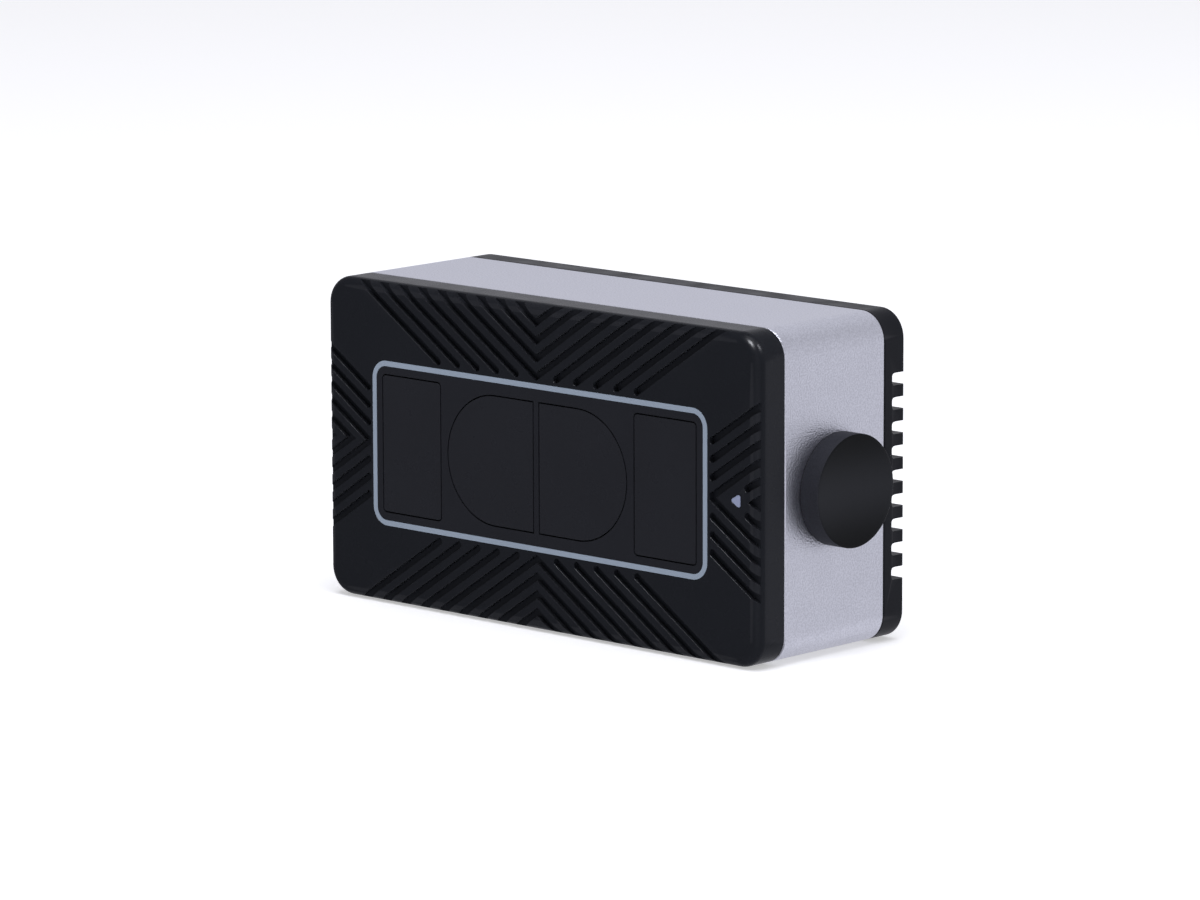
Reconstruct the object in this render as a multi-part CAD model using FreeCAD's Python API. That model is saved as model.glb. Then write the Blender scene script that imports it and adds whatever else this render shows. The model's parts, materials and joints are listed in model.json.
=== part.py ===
import FreeCAD, Part
import math
import os

# Compact lidar scanner module.
# Millimetres.  X runs to the right, Y runs from the front (-Y) to the back, Z runs up.
# The origin is the centre of the underside, half way between front and back.

VEC = FreeCAD.Vector
X_DIR = VEC(1, 0, 0)
Y_DIR = VEC(0, 1, 0)
Z_DIR = VEC(0, 0, 1)
SIDES = (-1, 1)

# ---------------------------------------------------------------- driving dimensions
WIDTH = 107.3
HEIGHT = 60.0
DEPTH = 39.4
CORNER_R = 5.2
WALL = 3.0
BEZEL_DEPTH = 7.13
COVER_DEPTH = 5.5

FRONT_Y = -DEPTH / 2
BACK_Y = DEPTH / 2
BODY_FRONT_Y = FRONT_Y + BEZEL_DEPTH
BODY_BACK_Y = BACK_Y - COVER_DEPTH
MID_Z = HEIGHT / 2
SIDE_X = WIDTH / 2
INNER_X = WIDTH / 2 - WALL
INNER_HALF_Z = HEIGHT / 2 - WALL
INNER_CORNER_R = CORNER_R - WALL

# front bezel
BEZEL_EDGE_R = 2.0
BEZEL_WALL = 3.2
BEZEL_INNER_Y = FRONT_Y + BEZEL_WALL
PARTING_CHAMFER = 0.15
BODY_CHAMFER = 0.25

# chevron grooves
GROOVE_SLOPE = 2.0 / 3.0
GROOVE_HALF_W = 0.675
GROOVE_DEPTH = 1.1
GROOVE_PITCH_X = 4.93
GROOVE_PITCH_Z = GROOVE_PITCH_X * GROOVE_SLOPE
BAND_APEX_Z = 16.7
BAND_CLIP_Z = 16.05
BAND_CHEVRONS = 4
BAND_ARMS = 5
FLANK_APEX_X = 42.5
FLANK_CLIP_X = 42.15
FLANK_CHEVRONS = 3
FLANK_ARMS = 3
STUB_START_X = 51.1

# optics panel, outline ring and windows (half sizes about the middle of the face)
RING_HALF_X = 41.66
RING_HALF_Z = 15.5
RING_CORNER_R = 3.5
RING_WIDTH = 1.12
RING_DEPTH = 1.0
PANEL_DEPTH = 2.2
PANEL_LEDGE = 1.7
FIT_GAP = 0.05
WINDOW_HALF_GAP = 0.12
WINDOW_DEPTH = 1.3
WINDOW_LEDGE = 0.9
FLOOD_WINDOW_X = (24.07, 39.0)
FLOOD_WINDOW_HALF_Z = 12.85
FLOOD_WINDOW_R = 0.8
FLOOD_WINDOW_LEAST_R = 0.3
D_WINDOW_INNER_X = 0.71
D_WINDOW_ARC_X = 10.25
D_WINDOW_R = 12.04

# status light guide: a small rounded triangle that points at the windows
GUIDE_TIP_X = 46.95
GUIDE_BASE_X = 49.45
GUIDE_HALF_Z = 1.42
GUIDE_CORNER_R = 0.45
GUIDE_LENGTH = 5.0
GUIDE_GROWTH_Z = 1.6
GUIDE_GROWTH_TIP = 2.2

# case screws
SCREW_X = 46.9
SCREW_HALF_Z = 23.3
BOSS_R = 4.5
CASE_SCREW_R = 1.5
CASE_SCREW_CLEARANCE_R = 1.6
CASE_SCREW_HEAD_R = 2.75
CASE_SCREW_HEAD_H = 3.0
COUNTERBORE_R = 3.1
COUNTERBORE_DEPTH = 3.2
CASE_SCREW_TIP_Y = -15.6
CASE_SCREW_TIP_GAP = 0.4

# gaskets
GASKET_HALF_W = 0.4
GASKET_DEPTH = 0.8

# cooling slots in the rear cover
SLOT_COUNT = 9
SLOT_PITCH = 4.42
SLOT_WIDTH = 2.25
SLOT_DEPTH = 3.4
SLOT_FLOOR_R = 0.6
COVER_EDGE_R = 0.5

# mounting threads in the underside (M4 tapping size)
MOUNT_X = 40.0
MOUNT_Y = 8.0
MOUNT_HOLE_R = 1.65
MOUNT_HOLE_DEPTH = 6.5
MOUNT_BOSS_R = 4.0
MOUNT_BOSS_TOP = 7.5

# connector and its dust cap, on the right-hand side
CONN_Y = 1.6
CONN_BARREL_R = 7.2
CONN_BORE_R = 6.2
CONN_COLLAR_R = 8.0
CONN_COLLAR_LENGTH = 3.0
CONN_BACK_X = 42.0
CONN_FACE_X = 47.0
CONN_PIN_R = 0.5
CONN_PIN_TIP_X = 51.8
CONN_PIN_CIRCLE_R = 3.6
CONN_PIN_COUNT = 7
CONN_NUT_FLATS = 18.0
CONN_NUT_LENGTH = 2.5
CONN_SEAL = 0.5
CONN_PIN_TAIL = 1.5
CONN_PIN_CHAMFER = 0.15
CONN_HOLE_GAP = 0.1
CONN_BOARD_X = (CONN_BACK_X - 1.1, CONN_BACK_X - 0.1)
CONN_BOARD_R = CONN_BARREL_R - 0.4
COLLAR_END_X = SIDE_X + CONN_COLLAR_LENGTH
PIN_GAP = 0.02
CAP_R = 10.25
CAP_PROUD = 4.2
CAP_END = 1.0
CAP_CLEARANCE = 0.1
CAP_WALL_GAP = 0.1
CAP_EDGE_R = 0.15

# scan rotor
AXIS_Y = -3.6
AXIS_Z = MID_Z
SHAFT_R = 1.5
SHAFT_LEFT_X = -32.0
SHAFT_RIGHT_X = 37.4
SHAFT_BORE_R = 1.52
SHAFT_CHAMFER = 0.3
DIVIDER_HALF_W = 0.6
DIVIDER_R = 9.2
MIRROR_HALF = 6.0
MIRROR_END_X = 19.8

# ball bearings (3 x 10 x 4 mm)
BEARING_X = (22.0, 26.0)
BEARING_R = 5.0
RACE_OUTER_R = 4.0
RACE_INNER_R = 2.6
BALL_R = 0.67
BALL_COUNT = 7
BALL_CIRCLE_R = (RACE_OUTER_R + RACE_INNER_R) / 2
CAGE_HALF_LENGTH = 1.3
CAGE_HALF_WALL = 0.25
CAGE_POCKET_SPARE = 0.06

# scan motor: an outrunner on the right end of the shaft
MOTOR_CUP_X = (28.7, 37.0)
MOTOR_CUP_R = 9.3
MOTOR_CUP_WALL = 0.9
MAGNET_X = (29.2, 35.6)
MAGNET_R = (7.7, 8.35)
STATOR_X = (29.9, 34.7)
STATOR_R = 7.4
STATOR_RING_R = (3.55, 4.8)
STATOR_TEETH = 6
TOOTH_HALF_W = 0.9
SHOE_THICKNESS = 0.7
SHOE_HALF_W = 2.4
COIL_RISE = (5.0, 6.3)
COIL_HALF_W = 1.8
COIL_OVERHANG = 0.9
COIL_GAP = 0.1
MOTOR_BOARD_X = (26.6, 27.6)
MOTOR_BOARD_R = 7.5
BOARD_HOLE_GAP = 0.1

# scan encoder, on the left end of the shaft
ENCODER_DISC_X = (-30.2, -29.6)
ENCODER_DISC_R = 8.5
ENCODER_HUB_X = (-31.6, -28.6)
ENCODER_HUB_R = 3.0
ENCODER_SLITS = 36
ENCODER_SLIT_R = (6.4, 7.9)
ENCODER_SLIT_HALF_W = 0.2
ENCODER_BOARD_X = (-27.7, -26.7)
ENCODER_BOARD_Y = (-8.0, 6.0)
ENCODER_BOARD_Z = (19.0, 44.0)
ENCODER_BOARD_HOLE_R = 4.0
SENSOR_END_X = -33.0
SENSOR_HALF_Y = 3.0
SENSOR_Z = (35.4, 41.5)
SENSOR_SLOT_TOP_Z = 39.4
SENSOR_SLOT_GAP = 0.6

# bearing brackets
BRACKET_X = (21.5, 26.5)
BRACKET_FRONT_Y = -10.5
BRACKET_BOTTOM_Z = 18.0
BRACKET_FOOT_X = (20.6, 27.4)
BRACKET_FOOT_Y = 3.5
BRACKET_FOOT_Z = (14.0, 18.5)
BRACKET_SCREW_X = 24.0
BRACKET_SCREW_Z = (16.5, 43.5)
BRACKET_EYE_R = 2.2
BRACKET_HOLE_DEPTH = 5.5
BEARING_BOSS_R = 3.5
BEARING_BOSS_END_X = 35.2

# chassis plate, with the standoffs of the main board
PLATE_Y = (6.5, 8.5)
PLATE_HALF_X = 40.0
PLATE_Z = (4.5, 55.5)
TOP_NOTCH_HALF_X = 22.0
TOP_NOTCH_Z = 50.0
BOSS_NOTCH_X = 34.5
BOSS_NOTCH_Z = 8.0
FLOOD_FLEX_NOTCH_X = (33.0, 38.6)
FLOOD_FLEX_NOTCH_Z = (14.0, 16.4)
TAB_NOTCH_X = (26.2, 28.4)
TAB_NOTCH_Z = (26.0, 34.0)
LUG_X = 30.0
LUG_HALF_W = 4.0
LUG_Y = (2.5, 6.5)
LUG_HEIGHT = 7.0
LUG_SCREW_RISE = 4.0
STANDOFF_X = 37.0
STANDOFF_Z = (10.4, 49.6)
STANDOFF_R = 2.2

# optics deck, its lens barrels and boards
DECK_HALF_X = 27.5
DECK_Y = (-12.5, 6.4)
DECK_Z = (46.0, 48.0)
DECK_NOSE_HALF_X = 20.3
DECK_NOSE_Y = -16.3
DECK_SCREW_Y = (-6.5, 1.5)
DECK_PILLAR_R = 1.6
OPTICS_BOARD_Z = (49.5, 50.7)
BEAM_Y = AXIS_Y - MIRROR_HALF / math.sqrt(2)
LASER_X = -10.2
LASER_BARREL_R = 3.5
LASER_BORE_R = 2.8
LASER_BARREL_BOTTOM_Z = 40.0
LASER_LENS_TOP_Z = 43.6
LASER_LENS_RIM = 0.8
LASER_LENS_BALL_R = 4.0
LASER_CAN_R = 1.8
LASER_CAN_Z = (46.0, 48.4)
LASER_BOARD_X = (-20.2, -1.4)
LASER_BOARD_Y = (-13.0, 4.0)
RECEIVER_X = 10.6
RECEIVER_BARREL_R = 8.0
RECEIVER_BORE_R = 7.2
RECEIVER_BARREL_BOTTOM_Z = 39.6
RECEIVER_LENS_TOP_Z = 44.0
RECEIVER_LENS_RIM = 1.0
RECEIVER_LENS_BALL_R = 12.0
RECEIVER_BOARD_X = (1.4, 22.0)
RECEIVER_BOARD_Y = (-15.8, 4.0)
FLANGE_H = 1.0
FLANGE_SPARE_R = 0.5
DETECTOR_HALF = 2.5
DETECTOR_WINDOW_HALF = 1.5
DETECTOR_FRONT_Z = 48.0
DETECTOR_RECESS = 0.3
BAFFLE_BOTTOM_Z = 14.5
BAFFLE_NOSE_HALF_Z = 13.4
BAFFLE_CLEARANCE = 0.4
BAFFLE_GAP = 0.1

# boards behind the bezel, staked on its posts (depths below the front face)
FLOOD_BOARD_DEPTH = (5.0, 6.0)
FLOOD_BOARD_X = (24.3, 38.9)
FLOOD_BOARD_HALF_Z = 18.8
FLOOD_POST_X = 31.6
FLOOD_POST_HALF_Z = 17.0
EMITTER_COLUMNS = 3
EMITTER_ROWS = 5
EMITTER_FIRST_X = 27.2
EMITTER_PITCH_X = 4.4
EMITTER_PITCH_Z = 4.6
EMITTER_HALF = 1.2
EMITTER_H = 1.0
DIFFUSER_THICKNESS = 0.8
DIFFUSER_INSET = 0.4
STATUS_BOARD_DEPTH = (6.3, 7.3)
STATUS_BOARD_X = (45.2, 50.4)
STATUS_BOARD_Z = (15.5, 37.0)
STATUS_LAMP_X = (47.6, 49.6)
STATUS_LAMP_HALF_Z = 1.0
STATUS_LAMP_GAP = 0.3
STATUS_POST_X = 47.8
STATUS_POST_Z = (20.0, 34.0)
POST_R = 1.8
POST_PIN_R = 0.8
POST_HEAD_R = 1.4
POST_HEAD_H = 0.5

# main board, and what is soldered to it
MAIN_BOARD_Y = (10.6, 12.0)
MAIN_BOARD_HALF_X = 41.5
MAIN_BOARD_Z = (8.5, 51.5)
MAIN_BOARD_CORNER_R = 2.0
PROCESSOR_HALF = 7.0
PROCESSOR_H = 1.6
PAD_HALF = 6.5
CHIPS = (
    # x, z, width, height, thickness of each part on the back of the main board
    (-18.0, 30.0, 9.0, 11.0, 1.0),
    (-30.0, 30.0, 7.0, 7.0, 1.2),
    (18.0, 36.0, 6.0, 6.0, 1.0),
    (18.0, 24.0, 6.0, 6.0, 1.0),
    (30.0, 36.5, 7.0, 7.0, 1.9),
    (30.0, 26.5, 7.0, 7.0, 1.9),
    (-30.0, 18.0, 5.0, 4.0, 1.1),
    (-20.0, 17.0, 5.0, 4.0, 1.1),
    (0.0, 16.0, 8.0, 5.0, 1.1),
    (12.0, 46.0, 10.0, 3.0, 1.2),
    (-12.0, 46.0, 10.0, 3.0, 1.2),
)
FLEX_SOCKETS = (
    # x range, z range and open side of each socket on the front of the main board
    ((-13.6, -6.6), (41.0, 44.0), "top"),
    ((7.0, 14.0), (41.0, 44.0), "top"),
    ((-38.6, -33.0), (17.6, 20.2), "bottom"),
    ((33.0, 38.6), (17.6, 20.2), "bottom"),
    ((37.6, 41.0), (21.2, 23.4), "right"),
    ((39.0, 41.4), (26.4, 33.6), "front"),
    ((-28.6, -25.7), (26.0, 34.0), "front"),
    ((25.7, 28.6), (26.0, 34.0), "front"),
)
SOCKET_FRONT_Y = 9.3
SOCKET_SLOT_Y = (9.5, 10.2)
SOCKET_WALL = 0.4

# small screws
SMALL_SCREW_R = 1.25
SMALL_HEAD_R = 2.2
SMALL_HEAD_H = 1.5
SMALL_SCREW_LENGTH = 5.0
TINY_SCREW_R = 0.8
DECK_SCREW_LENGTH = 6.0
BOARD_SCREW_LENGTH = 4.3
TINY_HEAD_R = 1.5
TINY_HEAD_H = 1.0
SOCKET_SHARE = 0.55
RECESS_SHARE = 0.6
THREAD_GAP = 0.03
HOLE_GAP = 0.05

# flat flex cables
FLEX_THICKNESS = 0.2
FLEX_BEND_R = 1.2
OPTICS_FLEX_X = ((-13.0, -7.2), (7.6, 13.4))
OPTICS_FLEX_START_Y = 2.7
OPTICS_FLEX_Z = (51.2, 42.2)
FLOOD_FLEX_X = (33.6, 38.0)
FLOOD_FLEX_Z = (15.2, 19.4)
STATUS_FLEX_Z = 22.2
POWER_FLEX_X = 40.3
POWER_FLEX_Y = (6.1, 7.6, 10.0)
POWER_FLEX_Z = (28.0, 32.0)
TAB_END_Y = 9.6
TAB_Z = (27.0, 33.0)


# ---------------------------------------------------------------- shape helpers
def box(x_range, y_range, z_range):
    """A block between the given limits."""
    corner = VEC(x_range[0], y_range[0], z_range[0])
    size_x = x_range[1] - x_range[0]
    size_y = y_range[1] - y_range[0]
    size_z = z_range[1] - z_range[0]
    return Part.makeBox(size_x, size_y, size_z, corner)


def mirrored(x_range, side):
    """An x range on the right (side 1), or its mirror image on the left (side -1)."""
    ends = (x_range[0] * side, x_range[1] * side)
    return (min(ends), max(ends))


def rod_x(x_range, y, z, radius):
    return Part.makeCylinder(radius, x_range[1] - x_range[0], VEC(x_range[0], y, z), X_DIR)


def rod_y(x, y_range, z, radius):
    return Part.makeCylinder(radius, y_range[1] - y_range[0], VEC(x, y_range[0], z), Y_DIR)


def rod_z(x, y, z_range, radius):
    return Part.makeCylinder(radius, z_range[1] - z_range[0], VEC(x, y, z_range[0]), Z_DIR)


def tube_x(x_range, y, z, outer_r, inner_r):
    longer = (x_range[0] - 1, x_range[1] + 1)
    return rod_x(x_range, y, z, outer_r).cut(rod_x(longer, y, z, inner_r))


def tube_z(x, y, z_range, outer_r, inner_r):
    longer = (z_range[0] - 1, z_range[1] + 1)
    return rod_z(x, y, z_range, outer_r).cut(rod_z(x, y, longer, inner_r))


def prism_y(points, y_range):
    """A polygon given as (x, z) points, extruded from front to back."""
    corners = [VEC(x, y_range[0], z) for x, z in points]
    wire = Part.makePolygon(corners + [corners[0]])
    return Part.Face(wire).extrude(VEC(0, y_range[1] - y_range[0], 0))


def prism_x(points, x_range):
    """A polygon given as (y, z) points, extruded to the right."""
    corners = [VEC(x_range[0], y, z) for y, z in points]
    wire = Part.makePolygon(corners + [corners[0]])
    return Part.Face(wire).extrude(VEC(x_range[1] - x_range[0], 0, 0))


def edges_along(shape, direction):
    """The straight edges of a shape that run along a direction."""
    found = []
    for edge in shape.Edges:
        span = edge.Vertexes[-1].Point - edge.Vertexes[0].Point
        if span.Length > 0 and abs(abs(span.dot(direction)) - span.Length) < 1e-6:
            found.append(edge)
    return found


def edges_at_y(shape, y):
    """The edges of a shape that lie in the plane at the given y."""
    found = []
    for edge in shape.Edges:
        limits = edge.BoundBox
        if abs(limits.YMin - y) < 1e-6 and abs(limits.YMax - y) < 1e-6:
            found.append(edge)
    return found


def rounded_block(x_range, z_range, radius, y_range):
    """A block whose four edges from front to back are rounded."""
    block = box(x_range, y_range, z_range)
    return block.makeFillet(radius, edges_along(block, Y_DIR))


def case_outline(inset, y_range):
    """The outer form of the case, or the same form a little smaller all round."""
    half_x = SIDE_X - inset
    z_range = (inset, HEIGHT - inset)
    return rounded_block((-half_x, half_x), z_range, CORNER_R - inset, y_range)


def face_block(half_x, half_z, radius, y_range):
    """A rounded block centred on the front face."""
    return rounded_block((-half_x, half_x), (MID_Z - half_z, MID_Z + half_z), radius, y_range)


def fused(first, others):
    return first.multiFuse(others).removeSplitter()


def depth(start, end):
    """The y range between two depths below the front face."""
    return (FRONT_Y + start, FRONT_Y + end)


def screw_y(x, z, tip_y, seat_y, radius, head_r, head_h):
    """A socket screw whose head faces the back."""
    shank = rod_y(x, (tip_y, seat_y), z, radius)
    head = rod_y(x, (seat_y, seat_y + head_h), z, head_r)
    socket_points = hexagon(x, z, head_r * SOCKET_SHARE)
    socket = prism_y(socket_points, (seat_y + head_h / 2, seat_y + head_h + 1))
    return shank.fuse(head).removeSplitter().cut(socket)


def screw_z(x, y, tip_z, seat_z, radius, head_r, head_h):
    """A cross-recess screw whose head faces up."""
    shank = rod_z(x, y, (tip_z, seat_z), radius)
    head = rod_z(x, y, (seat_z, seat_z + head_h), head_r)
    top = (seat_z + head_h / 2, seat_z + head_h + 1)
    reach = head_r * RECESS_SHARE
    blade = reach / 4
    recess = box((x - reach, x + reach), (y - blade, y + blade), top)
    recess = recess.fuse(box((x - blade, x + blade), (y - reach, y + reach), top))
    return shank.fuse(head).removeSplitter().cut(recess)


def hexagon(x, z, radius):
    points = []
    for corner in range(6):
        angle = math.radians(60 * corner)
        points.append((x + radius * math.cos(angle), z + radius * math.sin(angle)))
    return points


def case_corners():
    """The (x, z) places of the four case screws."""
    return [(SCREW_X * i, MID_Z + SCREW_HALF_Z * j) for i in SIDES for j in SIDES]


# ---------------------------------------------------------------- windows and panel
def flood_window(side, offset, y_range):
    """A rectangular window outline, grown or shrunk by an offset."""
    x_range = (FLOOD_WINDOW_X[0] - offset, FLOOD_WINDOW_X[1] + offset)
    half_z = FLOOD_WINDOW_HALF_Z + offset
    radius = max(FLOOD_WINDOW_R + offset, FLOOD_WINDOW_LEAST_R)
    z_range = (MID_Z - half_z, MID_Z + half_z)
    return rounded_block(mirrored(x_range, side), z_range, radius, y_range)


def d_window(side, offset, y_range):
    """A D-shaped window: a straight inner edge and a half-round outer end."""
    radius = D_WINDOW_R + offset
    inner_x = D_WINDOW_INNER_X - offset
    z_range = (MID_Z - radius, MID_Z + radius)
    straight = box(mirrored((inner_x, D_WINDOW_ARC_X), side), y_range, z_range)
    end = rod_y(D_WINDOW_ARC_X * side, y_range, MID_Z, radius)
    outer_half = mirrored((inner_x, D_WINDOW_ARC_X + radius + 1), side)
    keep = box(outer_half, y_range, (z_range[0] - 1, z_range[1] + 1))
    return straight.fuse(end.common(keep)).removeSplitter()


def window_shapes(offset, y_range):
    shapes = []
    for side in SIDES:
        shapes.append(flood_window(side, offset, y_range))
        shapes.append(d_window(side, offset, y_range))
    return shapes


def face_panel():
    half_x = RING_HALF_X - RING_WIDTH
    half_z = RING_HALF_Z - RING_WIDTH
    front = face_block(half_x, half_z, RING_CORNER_R - RING_WIDTH, depth(0, PANEL_DEPTH))
    flange_x = RING_HALF_X - FIT_GAP
    flange_z = RING_HALF_Z - FIT_GAP
    flange = face_block(flange_x, flange_z, RING_CORNER_R, depth(RING_DEPTH, PANEL_DEPTH))
    panel = fused(front, [flange])
    panel = panel.cut(window_shapes(WINDOW_HALF_GAP, depth(-1, WINDOW_DEPTH)))
    return panel.cut(window_shapes(-WINDOW_LEDGE, depth(0, PANEL_DEPTH + 1)))


def trim_ring():
    outer_x = RING_HALF_X - FIT_GAP
    outer_z = RING_HALF_Z - FIT_GAP
    inner_x = RING_HALF_X - RING_WIDTH + FIT_GAP
    inner_z = RING_HALF_Z - RING_WIDTH + FIT_GAP
    ring = face_block(outer_x, outer_z, RING_CORNER_R, depth(0, RING_DEPTH))
    return ring.cut(face_block(inner_x, inner_z, RING_CORNER_R - RING_WIDTH, depth(-1, 2)))


def guide_prism(offset, y_range):
    """The rounded triangle of the status light guide, grown by an offset."""
    half_z = GUIDE_HALF_Z + offset * GUIDE_GROWTH_Z
    points = [(GUIDE_TIP_X - offset * GUIDE_GROWTH_TIP, MID_Z),
              (GUIDE_BASE_X + offset, MID_Z - half_z),
              (GUIDE_BASE_X + offset, MID_Z + half_z)]
    prism = prism_y(points, y_range)
    return prism.makeFillet(GUIDE_CORNER_R + offset, edges_along(prism, Y_DIR))


def status_light_guide():
    return guide_prism(0, depth(0, GUIDE_LENGTH))


# ---------------------------------------------------------------- bezel grooves
def place_band(side):
    """Local (across, outward) coordinates to (x, z) for the top or bottom band."""
    return lambda across, outward: (across, MID_Z + side * outward)


def place_flank(side):
    """Local (across, outward) coordinates to (x, z) for the left or right flank."""
    return lambda across, outward: (side * outward, MID_Z + across)


def chevron(place, apex, rise, half_out, clip, reach):
    """A V groove that opens outward, its point cut off level at the clip line."""
    across = (reach - apex) / rise
    tip = apex - half_out
    outline = [(across, reach - half_out), (across, reach + half_out),
               (0, apex + half_out),
               (-across, reach + half_out), (-across, reach - half_out)]
    if tip < clip:
        cut_across = (clip - tip) / rise
        outline += [(-cut_across, clip), (cut_across, clip)]
    else:
        outline.append((0, tip))
    points = [place(*point) for point in outline]
    return prism_y(points, depth(-1, GROOVE_DEPTH))


def arm(place, start_across, start_out, rise, reach):
    """A straight groove that starts with a round end and runs outward."""
    length = math.hypot(1, rise)
    mirror = math.copysign(1, start_across)
    run = (mirror / length, rise / length)
    side = (-run[1] * GROOVE_HALF_W, run[0] * GROOVE_HALF_W)
    span = (reach - start_out) / run[1]
    end_across = start_across + run[0] * span
    end_out = start_out + run[1] * span
    outline = [(start_across + side[0], start_out + side[1]),
               (end_across + side[0], end_out + side[1]),
               (end_across - side[0], end_out - side[1]),
               (start_across - side[0], start_out - side[1])]
    points = [place(*point) for point in outline]
    x, z = place(start_across, start_out)
    round_end = rod_y(x, depth(-1, GROOVE_DEPTH), z, GROOVE_HALF_W)
    return prism_y(points, depth(-1, GROOVE_DEPTH)).fuse(round_end)


def band_grooves(side):
    """Chevrons and side arms above (side 1) or below (side -1) the panel."""
    place = place_band(side)
    half_out = GROOVE_HALF_W * math.hypot(1, GROOVE_SLOPE)
    reach = MID_Z + 2
    start_out = BAND_CLIP_Z + GROOVE_HALF_W
    grooves = []
    for row in range(BAND_CHEVRONS):
        apex = BAND_APEX_Z + row * GROOVE_PITCH_Z
        grooves.append(chevron(place, apex, GROOVE_SLOPE, half_out, BAND_CLIP_Z, reach))
    for column in range(1, BAND_ARMS + 1):
        for mirror in SIDES:
            start = mirror * (column * GROOVE_PITCH_X + (start_out - BAND_APEX_Z) / GROOVE_SLOPE)
            grooves.append(arm(place, start, start_out, GROOVE_SLOPE, reach))
    return grooves


def flank_grooves(side):
    """Chevrons and arms left (side -1) or right (side 1) of the panel."""
    place = place_flank(side)
    rise = 1 / GROOVE_SLOPE
    half_out = GROOVE_HALF_W * math.hypot(1, rise)
    reach = SIDE_X + 1
    grooves = []
    for column in range(FLANK_CHEVRONS):
        apex = FLANK_APEX_X + column * GROOVE_PITCH_X
        beside_guide = side > 0 and column == 1
        if beside_guide:
            for mirror in SIDES:
                across = mirror * (STUB_START_X - apex) / rise
                grooves.append(arm(place, across, STUB_START_X, rise, reach))
        else:
            grooves.append(chevron(place, apex, rise, half_out, FLANK_CLIP_X, reach))
    start_out = FLANK_CLIP_X + GROOVE_HALF_W
    for row in range(1, FLANK_ARMS + 1):
        for mirror in SIDES:
            across = mirror * (row * GROOVE_PITCH_Z + (start_out - FLANK_APEX_X) / rise)
            grooves.append(arm(place, across, start_out, rise, reach))
    return grooves


# ---------------------------------------------------------------- case
def stake_posts():
    """Each board post behind the bezel: (x, z, depth range of the board on it)."""
    posts = []
    for i in SIDES:
        for j in SIDES:
            z = MID_Z + FLOOD_POST_HALF_Z * j
            posts.append((FLOOD_POST_X * i, z, FLOOD_BOARD_DEPTH))
    for z in STATUS_POST_Z:
        posts.append((STATUS_POST_X, z, STATUS_BOARD_DEPTH))
    return posts


def front_bezel():
    bezel = case_outline(0, (FRONT_Y, BODY_FRONT_Y))
    bezel = bezel.makeFillet(BEZEL_EDGE_R, edges_at_y(bezel, FRONT_Y))
    bezel = bezel.makeChamfer(PARTING_CHAMFER, edges_at_y(bezel, BODY_FRONT_Y))
    bezel = bezel.cut(case_outline(WALL, (BEZEL_INNER_Y, BODY_FRONT_Y + 1)))
    posts = [rod_y(x, (BEZEL_INNER_Y - 1, BODY_FRONT_Y), z, BOSS_R) for x, z in case_corners()]
    for x, z, board in stake_posts():
        posts.append(rod_y(x, depth(BEZEL_WALL - 0.5, board[0]), z, POST_R))
        posts.append(rod_y(x, depth(board[0] - 0.5, board[1] + POST_HEAD_H), z, POST_PIN_R))
        posts.append(rod_y(x, depth(board[1], board[1] + POST_HEAD_H), z, POST_HEAD_R))
    bezel = fused(bezel, posts)
    cuts = [face_block(RING_HALF_X, RING_HALF_Z, RING_CORNER_R, depth(-1, PANEL_DEPTH))]
    opening_x = RING_HALF_X - PANEL_LEDGE
    opening_z = RING_HALF_Z - PANEL_LEDGE
    cuts.append(face_block(opening_x, opening_z, RING_CORNER_R - 1, depth(0, BEZEL_WALL + 1)))
    cuts.append(guide_prism(FIT_GAP, depth(-1, BEZEL_WALL + 1)))
    screw_hole = (CASE_SCREW_TIP_Y - CASE_SCREW_TIP_GAP, BODY_FRONT_Y + 1)
    cuts += [rod_y(x, screw_hole, z, CASE_SCREW_R + THREAD_GAP) for x, z in case_corners()]
    for side in SIDES:
        cuts += band_grooves(side)
        cuts += flank_grooves(side)
    return bezel.cut(cuts)


def gasket_loop(y_range, spare):
    """A thin rectangular seal that follows the middle of the case wall."""
    middle = WALL / 2
    outer = case_outline(middle - GASKET_HALF_W - spare, y_range)
    longer = (y_range[0] - 1, y_range[1] + 1)
    return outer.cut(case_outline(middle + GASKET_HALF_W + spare, longer))


def front_gasket():
    return gasket_loop((BODY_FRONT_Y, BODY_FRONT_Y + GASKET_DEPTH), 0)


def rear_gasket():
    return gasket_loop((BODY_BACK_Y - GASKET_DEPTH, BODY_BACK_Y), 0)


def mount_places():
    return [(MOUNT_X * i, MOUNT_Y * j) for i in SIDES for j in SIDES]


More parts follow.
